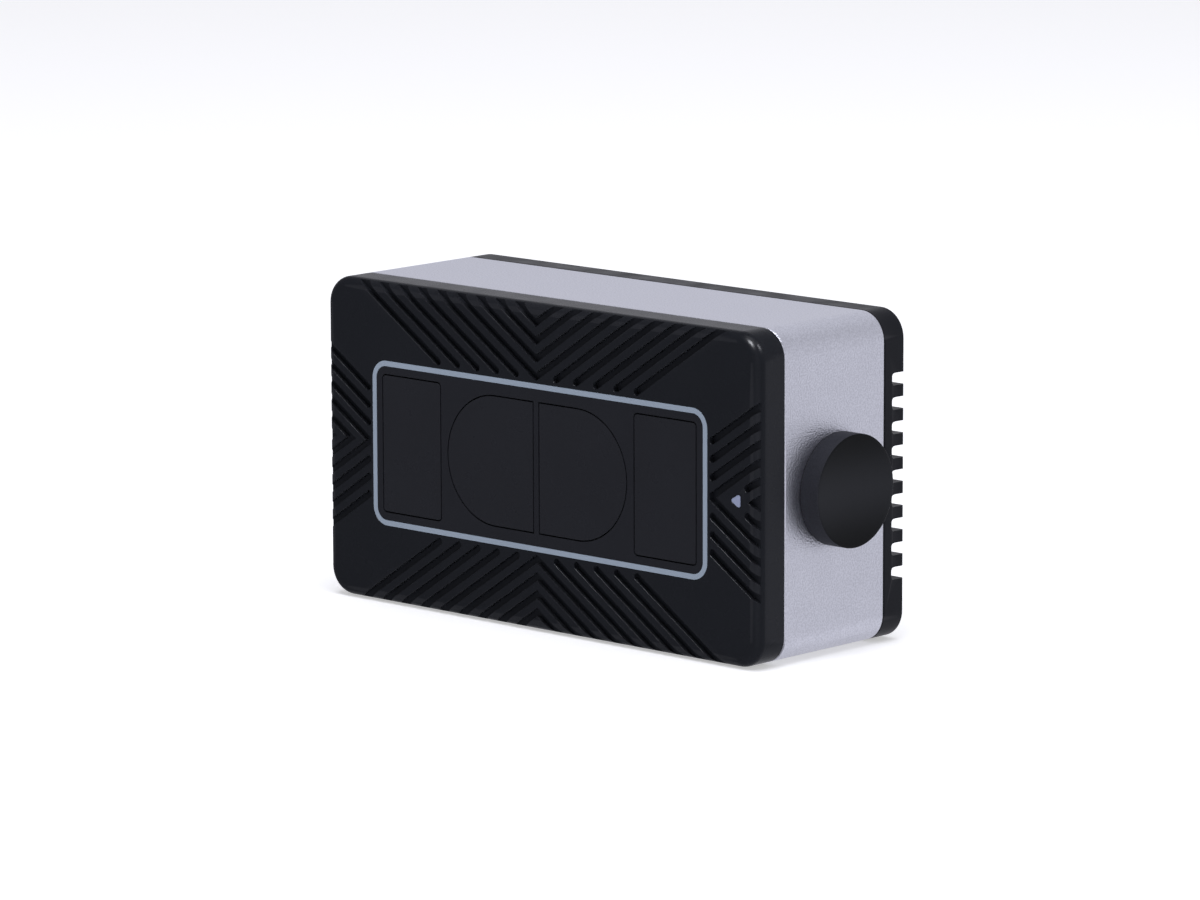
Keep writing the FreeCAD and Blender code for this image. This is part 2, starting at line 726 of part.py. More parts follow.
def main_housing():
    span = (BODY_FRONT_Y, BODY_BACK_Y)
    housing = case_outline(0, span)
    rims = edges_at_y(housing, BODY_FRONT_Y) + edges_at_y(housing, BODY_BACK_Y)
    housing = housing.makeChamfer(BODY_CHAMFER, rims)
    housing = housing.cut(case_outline(WALL, (span[0] - 1, span[1] + 1)))
    added = [rod_y(x, span, z, BOSS_R) for x, z in case_corners()]
    for x, y in mount_places():
        added.append(rod_z(x, y, (WALL - 1, MOUNT_BOSS_TOP), MOUNT_BOSS_R))
    for side in SIDES:
        lug_x = mirrored((LUG_X - LUG_HALF_W, LUG_X + LUG_HALF_W), side)
        added.append(box(lug_x, LUG_Y, (WALL - 1, WALL + LUG_HEIGHT)))
        added.append(box(lug_x, LUG_Y, (HEIGHT - WALL - LUG_HEIGHT, HEIGHT - WALL + 1)))
    housing = fused(housing, added)
    longer = (span[0] - 1, span[1] + 1)
    cuts = [rod_y(x, longer, z, CASE_SCREW_CLEARANCE_R) for x, z in case_corners()]
    cuts += [rod_z(x, y, (-1, MOUNT_HOLE_DEPTH), MOUNT_HOLE_R) for x, y in mount_places()]
    cuts += [rod_y(x, LUG_Y, z, SMALL_SCREW_R + THREAD_GAP) for x, z in chassis_screw_places()]
    cuts.append(rod_x((INNER_X - 1, SIDE_X + 1), CONN_Y, MID_Z, CONN_BARREL_R + CONN_HOLE_GAP))
    cuts.append(gasket_loop((BODY_FRONT_Y - 1, BODY_FRONT_Y + GASKET_DEPTH), FIT_GAP))
    cuts.append(gasket_loop((BODY_BACK_Y - GASKET_DEPTH, BODY_BACK_Y + 1), FIT_GAP))
    return housing.cut(cuts)


def cooling_slot(z):
    """One slot, cut right across the cover, with rounded corners at its floor."""
    floor_y = BACK_Y - SLOT_DEPTH
    x_range = (-SIDE_X - 1, SIDE_X + 1)
    slot = box(x_range, (floor_y, BACK_Y + 1), (z - SLOT_WIDTH / 2, z + SLOT_WIDTH / 2))
    floor_edges = [edge for edge in edges_at_y(slot, floor_y) if edge.Length > WIDTH]
    return slot.makeFillet(SLOT_FLOOR_R, floor_edges)


def rear_cover():
    cover = case_outline(0, (BODY_BACK_Y, BACK_Y))
    cover = cover.makeFillet(COVER_EDGE_R, edges_at_y(cover, BACK_Y))
    cover = cover.makeChamfer(PARTING_CHAMFER, edges_at_y(cover, BODY_BACK_Y))
    cuts = []
    for index in range(SLOT_COUNT):
        offset = index - (SLOT_COUNT - 1) / 2
        cuts.append(cooling_slot(MID_Z + offset * SLOT_PITCH))
    for x, z in case_corners():
        cuts.append(rod_y(x, (BODY_BACK_Y - 1, BACK_Y + 1), z, CASE_SCREW_CLEARANCE_R))
        cuts.append(rod_y(x, (BACK_Y - COUNTERBORE_DEPTH, BACK_Y + 1), z, COUNTERBORE_R))
    return cover.cut(cuts)


def case_screws():
    seat_y = BACK_Y - COUNTERBORE_DEPTH
    screws = []
    for x, z in case_corners():
        screws.append(screw_y(x, z, CASE_SCREW_TIP_Y, seat_y, CASE_SCREW_R,
                              CASE_SCREW_HEAD_R, CASE_SCREW_HEAD_H))
    return Part.makeCompound(screws)


# ---------------------------------------------------------------- connector and cap
def connector_shell():
    barrel = rod_x((CONN_BACK_X, COLLAR_END_X), CONN_Y, MID_Z, CONN_BARREL_R)
    collar = rod_x((SIDE_X + CONN_SEAL, COLLAR_END_X), CONN_Y, MID_Z, CONN_COLLAR_R)
    shell = barrel.fuse(collar).removeSplitter()
    return shell.cut(rod_x((CONN_BACK_X - 1, COLLAR_END_X + 1), CONN_Y, MID_Z, CONN_BORE_R))


def pin_places():
    """One pin in the middle and the rest on a circle round it: (y, z)."""
    places = [(CONN_Y, MID_Z)]
    for index in range(CONN_PIN_COUNT - 1):
        angle = 2 * math.pi * index / (CONN_PIN_COUNT - 1)
        y = CONN_Y + CONN_PIN_CIRCLE_R * math.cos(angle)
        z = MID_Z + CONN_PIN_CIRCLE_R * math.sin(angle)
        places.append((y, z))
    return places


def connector_insert():
    insert = rod_x((CONN_BACK_X, CONN_FACE_X), CONN_Y, MID_Z, CONN_BORE_R - THREAD_GAP)
    longer = (CONN_BACK_X - 1, CONN_FACE_X + 1)
    return insert.cut([rod_x(longer, y, z, CONN_PIN_R + PIN_GAP) for y, z in pin_places()])


def connector_pins():
    pins = []
    for y, z in pin_places():
        pin = rod_x((CONN_BACK_X - CONN_PIN_TAIL, CONN_PIN_TIP_X), y, z, CONN_PIN_R)
        pins.append(pin.makeChamfer(CONN_PIN_CHAMFER, [pin.Edges[0]]))
    return Part.makeCompound(pins)


def connector_nut():
    circum_r = CONN_NUT_FLATS / math.sqrt(3)
    x_range = (INNER_X - CONN_NUT_LENGTH, INNER_X)
    points = hexagon(CONN_Y, MID_Z, circum_r)
    nut = prism_x(points, x_range)
    longer = (x_range[0] - 1, x_range[1] + 1)
    return nut.cut(rod_x(longer, CONN_Y, MID_Z, CONN_BARREL_R + FIT_GAP))


def connector_seal():
    return tube_x((SIDE_X, SIDE_X + CONN_SEAL), CONN_Y, MID_Z, CONN_COLLAR_R - FIT_GAP,
                  CONN_BARREL_R + FIT_GAP)


def connector_board():
    board = rod_x(CONN_BOARD_X, CONN_Y, MID_Z, CONN_BOARD_R)
    longer = (CONN_BOARD_X[0] - 1, CONN_BOARD_X[1] + 1)
    return board.cut([rod_x(longer, y, z, CONN_PIN_R + PIN_GAP) for y, z in pin_places()])


def dust_cap():
    x_range = (SIDE_X + CAP_WALL_GAP, SIDE_X + CAP_PROUD)
    cap = rod_x(x_range, CONN_Y, MID_Z, CAP_R)
    rims = [edge for edge in cap.Edges if abs(edge.BoundBox.XMin - x_range[1]) < 1e-6]
    cap = cap.makeFillet(CAP_EDGE_R, rims)
    hollow = (x_range[0] - 1, x_range[1] - CAP_END)
    return cap.cut(rod_x(hollow, CONN_Y, MID_Z, CONN_COLLAR_R + CAP_CLEARANCE))


# ---------------------------------------------------------------- scan rotor
def square(half, turn_deg):
    points = []
    for corner in range(4):
        angle = math.radians(90 * corner + 45 + turn_deg)
        radius = half * math.sqrt(2)
        points.append((AXIS_Y + radius * math.cos(angle), AXIS_Z + radius * math.sin(angle)))
    return points


def scan_mirror(side):
    """A four-sided mirror block on the shaft, with a face at 45 degrees at rest."""
    x_range = mirrored((DIVIDER_HALF_W, MIRROR_END_X), side)
    block = prism_x(square(MIRROR_HALF, 45), x_range)
    longer = (x_range[0] - 1, x_range[1] + 1)
    return block.cut(rod_x(longer, AXIS_Y, AXIS_Z, SHAFT_BORE_R))


def divider_disc():
    span = (-DIVIDER_HALF_W, DIVIDER_HALF_W)
    return tube_x(span, AXIS_Y, AXIS_Z, DIVIDER_R, SHAFT_BORE_R)


def scan_shaft():
    shaft = rod_x((SHAFT_LEFT_X, SHAFT_RIGHT_X), AXIS_Y, AXIS_Z, SHAFT_R)
    rims = [edge for edge in shaft.Edges if edge.BoundBox.XLength < SHAFT_R]
    return shaft.makeChamfer(SHAFT_CHAMFER, rims)


def bearing_rings(outer_r, inner_r):
    rings = []
    for side in SIDES:
        x_range = mirrored(BEARING_X, side)
        rings.append(tube_x(x_range, AXIS_Y, AXIS_Z, outer_r, inner_r))
    return Part.makeCompound(rings)


def ball_centres(side):
    x = side * (BEARING_X[0] + BEARING_X[1]) / 2
    centres = []
    for index in range(BALL_COUNT):
        angle = 2 * math.pi * index / BALL_COUNT
        y = AXIS_Y + BALL_CIRCLE_R * math.cos(angle)
        z = AXIS_Z + BALL_CIRCLE_R * math.sin(angle)
        centres.append(VEC(x, y, z))
    return centres


def bearing_balls(side):
    return Part.makeCompound([Part.makeSphere(BALL_R, centre) for centre in ball_centres(side)])


def bearing_cage(side):
    middle = side * (BEARING_X[0] + BEARING_X[1]) / 2
    x_range = (middle - CAGE_HALF_LENGTH, middle + CAGE_HALF_LENGTH)
    ring = tube_x(x_range, AXIS_Y, AXIS_Z, BALL_CIRCLE_R + CAGE_HALF_WALL,
                  BALL_CIRCLE_R - CAGE_HALF_WALL)
    pockets = []
    for centre in ball_centres(side):
        outward = centre - VEC(middle, AXIS_Y, AXIS_Z)
        start = centre - outward / 4
        pockets.append(Part.makeCylinder(BALL_R + CAGE_POCKET_SPARE, 2, start, outward))
    return ring.cut(pockets)


def motor_rotor_cup():
    cup = rod_x(MOTOR_CUP_X, AXIS_Y, AXIS_Z, MOTOR_CUP_R)
    hollow = (MOTOR_CUP_X[0] - 1, MOTOR_CUP_X[1] - MOTOR_CUP_WALL)
    cup = cup.cut(rod_x(hollow, AXIS_Y, AXIS_Z, MOTOR_CUP_R - MOTOR_CUP_WALL))
    return cup.cut(rod_x((hollow[1] - 1, MOTOR_CUP_X[1] + 1), AXIS_Y, AXIS_Z, SHAFT_BORE_R))


def motor_magnet_ring():
    return tube_x(MAGNET_X, AXIS_Y, AXIS_Z, MAGNET_R[1], MAGNET_R[0])


def turned(shape, angle_deg):
    """A copy of a shape, turned about the scan axis."""
    copy = shape.copy()
    copy.rotate(VEC(0, AXIS_Y, AXIS_Z), X_DIR, angle_deg)
    return copy


def motor_stator():
    ring = tube_x(STATOR_X, AXIS_Y, AXIS_Z, STATOR_RING_R[1], STATOR_RING_R[0])
    tooth = box(STATOR_X, (AXIS_Y - TOOTH_HALF_W, AXIS_Y + TOOTH_HALF_W),
                (AXIS_Z + STATOR_RING_R[0] + 1, AXIS_Z + STATOR_R - SHOE_THICKNESS / 2))
    shoe_band = tube_x(STATOR_X, AXIS_Y, AXIS_Z, STATOR_R, STATOR_R - SHOE_THICKNESS)
    shoe_reach = box(STATOR_X, (AXIS_Y - SHOE_HALF_W, AXIS_Y + SHOE_HALF_W),
                     (AXIS_Z, AXIS_Z + STATOR_R + 1))
    pole = tooth.fuse(shoe_band.common(shoe_reach))
    poles = [turned(pole, 360 / STATOR_TEETH * index) for index in range(STATOR_TEETH)]
    return fused(ring, poles)


def motor_coils():
    outer = box((STATOR_X[0] - COIL_OVERHANG, STATOR_X[1] + COIL_OVERHANG),
                (AXIS_Y - COIL_HALF_W, AXIS_Y + COIL_HALF_W),
                (AXIS_Z + COIL_RISE[0], AXIS_Z + COIL_RISE[1]))
    half_w = TOOTH_HALF_W + COIL_GAP
    inner = box((STATOR_X[0] - COIL_GAP, STATOR_X[1] + COIL_GAP),
                (AXIS_Y - half_w, AXIS_Y + half_w),
                (AXIS_Z + COIL_RISE[0] - 1, AXIS_Z + COIL_RISE[1] + 1))
    coil = outer.cut(inner)
    return Part.makeCompound([turned(coil, 360 / STATOR_TEETH * i) for i in range(STATOR_TEETH)])


def motor_board():
    """A ring board behind the stator, with a tab that reaches the main board."""
    board = rod_x(MOTOR_BOARD_X, AXIS_Y, AXIS_Z, MOTOR_BOARD_R)
    tab = box(MOTOR_BOARD_X, (AXIS_Y + MOTOR_BOARD_R / 2, TAB_END_Y), TAB_Z)
    board = board.fuse(tab).removeSplitter()
    longer = (MOTOR_BOARD_X[0] - 1, MOTOR_BOARD_X[1] + 1)
    return board.cut(rod_x(longer, AXIS_Y, AXIS_Z, BEARING_BOSS_R + BOARD_HOLE_GAP))


def encoder_disc():
    disc = rod_x(ENCODER_DISC_X, AXIS_Y, AXIS_Z, ENCODER_DISC_R)
    hub = rod_x(ENCODER_HUB_X, AXIS_Y, AXIS_Z, ENCODER_HUB_R)
    disc = disc.fuse(hub).removeSplitter()
    slit = box(ENCODER_HUB_X, (AXIS_Y - ENCODER_SLIT_HALF_W, AXIS_Y + ENCODER_SLIT_HALF_W),
               (AXIS_Z + ENCODER_SLIT_R[0], AXIS_Z + ENCODER_SLIT_R[1]))
    slits = [turned(slit, 360 / ENCODER_SLITS * index) for index in range(ENCODER_SLITS)]
    bore = rod_x((ENCODER_HUB_X[0] - 1, ENCODER_HUB_X[1] + 1), AXIS_Y, AXIS_Z, SHAFT_BORE_R)
    return disc.cut(slits + [bore])


def encoder_board():
    board = box(ENCODER_BOARD_X, ENCODER_BOARD_Y, ENCODER_BOARD_Z)
    tab = box(ENCODER_BOARD_X, (ENCODER_BOARD_Y[1] - 1, TAB_END_Y), TAB_Z)
    board = board.fuse(tab).removeSplitter()
    longer = (ENCODER_BOARD_X[0] - 1, ENCODER_BOARD_X[1] + 1)
    return board.cut(rod_x(longer, AXIS_Y, AXIS_Z, ENCODER_BOARD_HOLE_R))


def encoder_sensor():
    y_range = (AXIS_Y - SENSOR_HALF_Y, AXIS_Y + SENSOR_HALF_Y)
    sensor = box((SENSOR_END_X, ENCODER_BOARD_X[0]), y_range, SENSOR_Z)
    slot_x = (ENCODER_DISC_X[0] - SENSOR_SLOT_GAP, ENCODER_DISC_X[1] + SENSOR_SLOT_GAP)
    slot_y = (y_range[0] - 1, y_range[1] + 1)
    return sensor.cut(box(slot_x, slot_y, (SENSOR_Z[0] - 1, SENSOR_SLOT_TOP_Z)))


# ---------------------------------------------------------------- brackets, plate and deck
def bearing_bracket(side):
    upright = box(mirrored(BRACKET_X, side), (BRACKET_FRONT_Y, PLATE_Y[0]),
                  (BRACKET_BOTTOM_Z, DECK_Z[0]))
    foot = box(mirrored(BRACKET_FOOT_X, side), (BRACKET_FOOT_Y, PLATE_Y[0]), BRACKET_FOOT_Z)
    bracket = upright.fuse(foot).removeSplitter()
    if side > 0:
        boss = rod_x((BRACKET_X[1] - 1, BEARING_BOSS_END_X), AXIS_Y, AXIS_Z, BEARING_BOSS_R)
        bracket = bracket.fuse(boss).removeSplitter()
    pocket = mirrored((BRACKET_X[0] - 1, BEARING_X[1]), side)
    cuts = [rod_x(pocket, AXIS_Y, AXIS_Z, BEARING_R + THREAD_GAP)]
    eye = mirrored((BRACKET_X[0] - 1, BEARING_BOSS_END_X + 1), side)
    cuts.append(rod_x(eye, AXIS_Y, AXIS_Z, BRACKET_EYE_R))
    plate_hole = (PLATE_Y[0] - BRACKET_HOLE_DEPTH, PLATE_Y[0] + 1)
    deck_hole = (DECK_Z[0] - BRACKET_HOLE_DEPTH, DECK_Z[0] + 1)
    for z in BRACKET_SCREW_Z:
        cuts.append(rod_y(BRACKET_SCREW_X * side, plate_hole, z, SMALL_SCREW_R + THREAD_GAP))
    for y in DECK_SCREW_Y:
        cuts.append(rod_z(BRACKET_SCREW_X * side, y, deck_hole, TINY_SCREW_R + THREAD_GAP))
    return bracket.cut(cuts)


def chassis_screw_places():
    low = WALL + LUG_SCREW_RISE
    return [(LUG_X * i, z) for i in SIDES for z in (low, HEIGHT - low)]


def bracket_screw_places():
    return [(BRACKET_SCREW_X * i, z) for i in SIDES for z in BRACKET_SCREW_Z]


def standoff_places():
    return [(STANDOFF_X * i, z) for i in SIDES for z in STANDOFF_Z]


def chassis_plate():
    plate = box((-PLATE_HALF_X, PLATE_HALF_X), PLATE_Y, PLATE_Z)
    standoffs = [rod_y(x, (PLATE_Y[1] - 1, MAIN_BOARD_Y[0]), z, STANDOFF_R)
                 for x, z in standoff_places()]
    plate = fused(plate, standoffs)
    deep = (PLATE_Y[0] - 1, MAIN_BOARD_Y[0] + 1)
    cuts = [box((-TOP_NOTCH_HALF_X, TOP_NOTCH_HALF_X), deep, (TOP_NOTCH_Z, HEIGHT))]
    for side in SIDES:
        corner_x = mirrored((BOSS_NOTCH_X, SIDE_X), side)
        cuts.append(box(corner_x, deep, (0, BOSS_NOTCH_Z)))
        cuts.append(box(corner_x, deep, (HEIGHT - BOSS_NOTCH_Z, HEIGHT)))
        cuts.append(box(mirrored(FLOOD_FLEX_NOTCH_X, side), deep, FLOOD_FLEX_NOTCH_Z))
        cuts.append(box(mirrored(TAB_NOTCH_X, side), deep, TAB_NOTCH_Z))
    places = chassis_screw_places() + bracket_screw_places() + standoff_places()
    cuts += [rod_y(x, deep, z, SMALL_SCREW_R + HOLE_GAP) for x, z in places]
    return plate.cut(cuts)


def back_screws(places, tip_y, seat_y):
    return [screw_y(x, z, tip_y, seat_y, SMALL_SCREW_R, SMALL_HEAD_R, SMALL_HEAD_H)
            for x, z in places]


def optics_deck():
    deck = box((-DECK_HALF_X, DECK_HALF_X), DECK_Y, DECK_Z)
    pillar_z = (DECK_Z[0], OPTICS_BOARD_Z[0])
    pillars = [rod_z(x, y, pillar_z, DECK_PILLAR_R) for x, y in board_screw_places()]
    nose = box((-DECK_NOSE_HALF_X, DECK_NOSE_HALF_X), (DECK_NOSE_Y, DECK_Y[1]), DECK_Z)
    deck = fused(deck, pillars + [nose])
    through = (DECK_Z[0] - 1, OPTICS_BOARD_Z[0] + 1)
    cuts = [rod_z(LASER_X, BEAM_Y, through, LASER_BARREL_R + FIT_GAP)]
    cuts.append(rod_z(RECEIVER_X, BEAM_Y, through, RECEIVER_BARREL_R + FIT_GAP))
    cuts += [rod_z(x, y, through, TINY_SCREW_R + HOLE_GAP) for x, y in board_screw_places()]
    cuts += [rod_z(x, y, through, TINY_SCREW_R + HOLE_GAP) for x, y in deck_screw_places()]
    return deck.cut(cuts)


def deck_screw_places():
    return [(BRACKET_SCREW_X * i, y) for i in SIDES for y in DECK_SCREW_Y]


def board_screw_places():
    return [(-18.5, -11.0), (-3.5, 2.4), (3.5, 2.4), (20.0, 2.4)]


def top_screws(places, tip_z, seat_z):
    return [screw_z(x, y, tip_z, seat_z, TINY_SCREW_R, TINY_HEAD_R, TINY_HEAD_H)
            for x, y in places]


def inner_screws():
    """Every small screw: plate, brackets and main board from the back, optics from above."""
    screws = back_screws(chassis_screw_places(), PLATE_Y[1] - SMALL_SCREW_LENGTH, PLATE_Y[1])
    screws += back_screws(bracket_screw_places(), PLATE_Y[1] - SMALL_SCREW_LENGTH, PLATE_Y[1])
    screws += back_screws(standoff_places(), MAIN_BOARD_Y[1] - SMALL_SCREW_LENGTH, MAIN_BOARD_Y[1])
    screws += top_screws(deck_screw_places(), DECK_Z[1] - DECK_SCREW_LENGTH, DECK_Z[1])
    screws += top_screws(board_screw_places(), OPTICS_BOARD_Z[1] - BOARD_SCREW_LENGTH,
                         OPTICS_BOARD_Z[1])
    return Part.makeCompound(screws)


def optics_barrel(x, bottom_z, outer_r, bore_r):
    """A lens barrel that hangs from the deck by a flange."""
    barrel = rod_z(x, BEAM_Y, (bottom_z, OPTICS_BOARD_Z[0]), outer_r)
    flange = rod_z(x, BEAM_Y, (DECK_Z[1], DECK_Z[1] + FLANGE_H), outer_r + FLANGE_SPARE_R)
    barrel = barrel.fuse(flange).removeSplitter()
    bore = (bottom_z - 1, OPTICS_BOARD_Z[0] + 1)
    return barrel.cut(rod_z(x, BEAM_Y, bore, bore_r))


def collimator_barrel():
    return optics_barrel(LASER_X, LASER_BARREL_BOTTOM_Z, LASER_BARREL_R, LASER_BORE_R)


def receiver_barrel():
    return optics_barrel(RECEIVER_X, RECEIVER_BARREL_BOTTOM_Z, RECEIVER_BARREL_R,
                         RECEIVER_BORE_R)


def lens(x, flat_z, radius, rim_h, ball_r):
    """A lens with a flat top face and a domed lower face."""
    rod = rod_z(x, BEAM_Y, (flat_z - radius, flat_z), radius)
    sag = ball_r - math.sqrt(ball_r ** 2 - radius ** 2)
    ball = Part.makeSphere(ball_r, VEC(x, BEAM_Y, flat_z - rim_h - sag + ball_r))
    return rod.common(ball)


def collimator_lens():
    radius = LASER_BORE_R - FIT_GAP
    return lens(LASER_X, LASER_LENS_TOP_Z, radius, LASER_LENS_RIM, LASER_LENS_BALL_R)


def receiver_lens():
    radius = RECEIVER_BORE_R - FIT_GAP
    return lens(RECEIVER_X, RECEIVER_LENS_TOP_Z, radius, RECEIVER_LENS_RIM, RECEIVER_LENS_BALL_R)


def laser_diode():
    base_z = (LASER_CAN_Z[1] - FIT_GAP, OPTICS_BOARD_Z[0])
    base = rod_z(LASER_X, BEAM_Y, base_z, LASER_BORE_R - FIT_GAP)
    can = rod_z(LASER_X, BEAM_Y, LASER_CAN_Z, LASER_CAN_R)
    return base.fuse(can).removeSplitter()


def photodetector():
    half = DETECTOR_HALF
    package = box((RECEIVER_X - half, RECEIVER_X + half), (BEAM_Y - half, BEAM_Y + half),
                  (DETECTOR_FRONT_Z, OPTICS_BOARD_Z[0]))
    half = DETECTOR_WINDOW_HALF
    recess_z = (DETECTOR_FRONT_Z - 1, DETECTOR_FRONT_Z + DETECTOR_RECESS)
    recess = box((RECEIVER_X - half, RECEIVER_X + half), (BEAM_Y - half, BEAM_Y + half), recess_z)
    return package.cut(recess)


def optics_board(x_range, y_range, side):
    """A board on the deck's pillars, left (side -1) or right (side 1) of the middle."""
    board = box(x_range, y_range, OPTICS_BOARD_Z)
    places = [place for place in board_screw_places() if place[0] * side > 0]
    deep = (OPTICS_BOARD_Z[0] - 1, OPTICS_BOARD_Z[1] + 1)
    return board.cut([rod_z(x, y, deep, TINY_SCREW_R + HOLE_GAP) for x, y in places])


def laser_board():
    return optics_board(LASER_BOARD_X, LASER_BOARD_Y, -1)


def receiver_board():
    return optics_board(RECEIVER_BOARD_X, RECEIVER_BOARD_Y, 1)


def light_baffle():
    """A fixed plate that keeps laser light out of the receive side."""
    span = (-DIVIDER_HALF_W, DIVIDER_HALF_W)
    back = box(span, (BEZEL_INNER_Y + BAFFLE_GAP, PLATE_Y[0]), (BAFFLE_BOTTOM_Z, DECK_Z[0]))
    nose = box(span, (FRONT_Y + PANEL_DEPTH, BEZEL_INNER_Y + 1),
               (MID_Z - BAFFLE_NOSE_HALF_Z, MID_Z + BAFFLE_NOSE_HALF_Z))
    plate = back.fuse(nose).removeSplitter()
    return plate.cut(rod_x((-1, 1), AXIS_Y, AXIS_Z, DIVIDER_R + BAFFLE_CLEARANCE))


# ---------------------------------------------------------------- boards
def flood_boards():
    boards = []
    for side in SIDES:
        x_range = mirrored(FLOOD_BOARD_X, side)
        z_range = (MID_Z - FLOOD_BOARD_HALF_Z, MID_Z + FLOOD_BOARD_HALF_Z)
        board = box(x_range, depth(*FLOOD_BOARD_DEPTH), z_range)
        through = depth(FLOOD_BOARD_DEPTH[0] - 1, FLOOD_BOARD_DEPTH[1] + 1)
        holes = [rod_y(FLOOD_POST_X * side, through, MID_Z + FLOOD_POST_HALF_Z * j,
                       POST_PIN_R + HOLE_GAP) for j in SIDES]
        boards.append(board.cut(holes))
    return Part.makeCompound(boards)


def flood_emitters():
    emitters = []
    for side in SIDES:
        for column in range(EMITTER_COLUMNS):
            for row in range(EMITTER_ROWS):
                x = side * (EMITTER_FIRST_X + EMITTER_PITCH_X * column)
                z = MID_Z + EMITTER_PITCH_Z * (row - (EMITTER_ROWS - 1) / 2)
                x_range = (x - EMITTER_HALF, x + EMITTER_HALF)
                z_range = (z - EMITTER_HALF, z + EMITTER_HALF)
                y_range = depth(FLOOD_BOARD_DEPTH[0] - EMITTER_H, FLOOD_BOARD_DEPTH[0])
                emitters.append(box(x_range, y_range, z_range))
    return Part.makeCompound(emitters)


def flood_diffusers():
    half_z = FLOOD_WINDOW_HALF_Z - DIFFUSER_INSET
    inner_x = FLOOD_WINDOW_X[0] + DIFFUSER_INSET
    outer_x = FLOOD_WINDOW_X[1] - DIFFUSER_INSET
    y_range = depth(PANEL_DEPTH, PANEL_DEPTH + DIFFUSER_THICKNESS)
    plates = []
    for side in SIDES:
        z_range = (MID_Z - half_z, MID_Z + half_z)
        plates.append(box(mirrored((inner_x, outer_x), side), y_range, z_range))
    return Part.makeCompound(plates)


def status_board():
    """The small board behind the light guide, with its lamp."""
    board = box(STATUS_BOARD_X, depth(*STATUS_BOARD_DEPTH), STATUS_BOARD_Z)
    through = depth(STATUS_BOARD_DEPTH[0] - 1, STATUS_BOARD_DEPTH[1] + 1)
    holes = [rod_y(STATUS_POST_X, through, z, POST_PIN_R + HOLE_GAP) for z in STATUS_POST_Z]
    lamp = box(STATUS_LAMP_X, depth(GUIDE_LENGTH + STATUS_LAMP_GAP, STATUS_BOARD_DEPTH[0]),
               (MID_Z - STATUS_LAMP_HALF_Z, MID_Z + STATUS_LAMP_HALF_Z))
    return Part.makeCompound([board.cut(holes), lamp])


def main_board():
    board = rounded_block((-MAIN_BOARD_HALF_X, MAIN_BOARD_HALF_X), MAIN_BOARD_Z,
                          MAIN_BOARD_CORNER_R, MAIN_BOARD_Y)
    deep = (MAIN_BOARD_Y[0] - 1, MAIN_BOARD_Y[1] + 1)
    return board.cut([rod_y(x, deep, z, SMALL_SCREW_R + HOLE_GAP) for x, z in standoff_places()])


def board_sockets():
    """Flex sockets, each a shroud whose slot takes a flex or a board tab."""
    sockets = []
    for x_range, z_range, open_side in FLEX_SOCKETS:
        shroud = box(x_range, (SOCKET_FRONT_Y, MAIN_BOARD_Y[0]), z_range)
        slot_x = [x_range[0] + SOCKET_WALL, x_range[1] - SOCKET_WALL]
        slot_y = list(SOCKET_SLOT_Y)
        slot_z = [z_range[0] + SOCKET_WALL, z_range[1] - SOCKET_WALL]
        if open_side == "top":
            slot_z[1] = z_range[1] + 1
        elif open_side == "bottom":
            slot_z[0] = z_range[0] - 1
        elif open_side == "right":
            slot_x[1] = x_range[1] + 1
        else:
            slot_y[0] = SOCKET_FRONT_Y - 1
        sockets.append(shroud.cut(box(slot_x, slot_y, slot_z)))
    return sockets


def board_parts():
    """Everything soldered to the main board: chips, coils, processor and sockets."""
    parts = board_sockets()
    for x, z, width, height, thickness in CHIPS:
        y_range = (MAIN_BOARD_Y[1], MAIN_BOARD_Y[1] + thickness)
        x_range = (x - width / 2, x + width / 2)
        parts.append(box(x_range, y_range, (z - height / 2, z + height / 2)))
    half = PROCESSOR_HALF
    y_range = (MAIN_BOARD_Y[1], MAIN_BOARD_Y[1] + PROCESSOR_H)
    parts.append(box((-half, half), y_range, (MID_Z - half, MID_Z + half)))
    return Part.makeCompound(parts)


def thermal_pad():
    half = PAD_HALF
    y_range = (MAIN_BOARD_Y[1] + PROCESSOR_H, BODY_BACK_Y)
    return box((-half, half), y_range, (MID_Z - half, MID_Z + half))


# ---------------------------------------------------------------- flat flex cables
def bent_flex(x_range, start_y, run_z, end_y, end_z):
    """A flat flex that runs back level and then turns up or down into a socket."""
    bend = FLEX_BEND_R
    turn = math.copysign(1, end_z - run_z)
    thick = FLEX_THICKNESS
    centre = (end_y - bend, run_z + turn * bend)
    outer = bend + thick / 2
    inner = bend - thick / 2
    level = box(x_range, (start_y, centre[0]), (run_z - thick / 2, run_z + thick / 2))
    z_ends = sorted((centre[1], end_z))
    upright = box(x_range, (end_y - thick / 2, end_y + thick / 2), z_ends)
    elbow = tube_x(x_range, centre[0], centre[1], outer, inner)
    z_corner = sorted((centre[1], centre[1] - turn * (outer + 1)))
    corner = box(x_range, (centre[0], centre[0] + outer + 1), z_corner)
    return fused(level, [elbow.common(corner), upright])


def flat_flexes():
    end_y = (SOCKET_SLOT_Y[0] + SOCKET_SLOT_Y[1]) / 2
    run_z, end_z = OPTICS_FLEX_Z
    flexes = [bent_flex(x, OPTICS_FLEX_START_Y, run_z, end_y, end_z) for x in OPTICS_FLEX_X]
    for side in SIDES:
        x_range = mirrored(FLOOD_FLEX_X, side)
        start_y = FRONT_Y + FLOOD_BOARD_DEPTH[1]
        flexes.append(bent_flex(x_range, start_y, FLOOD_FLEX_Z[0], end_y, FLOOD_FLEX_Z[1]))
    flexes.append(status_flex())
    flexes.append(power_flex())
    return Part.makeCompound(flexes)


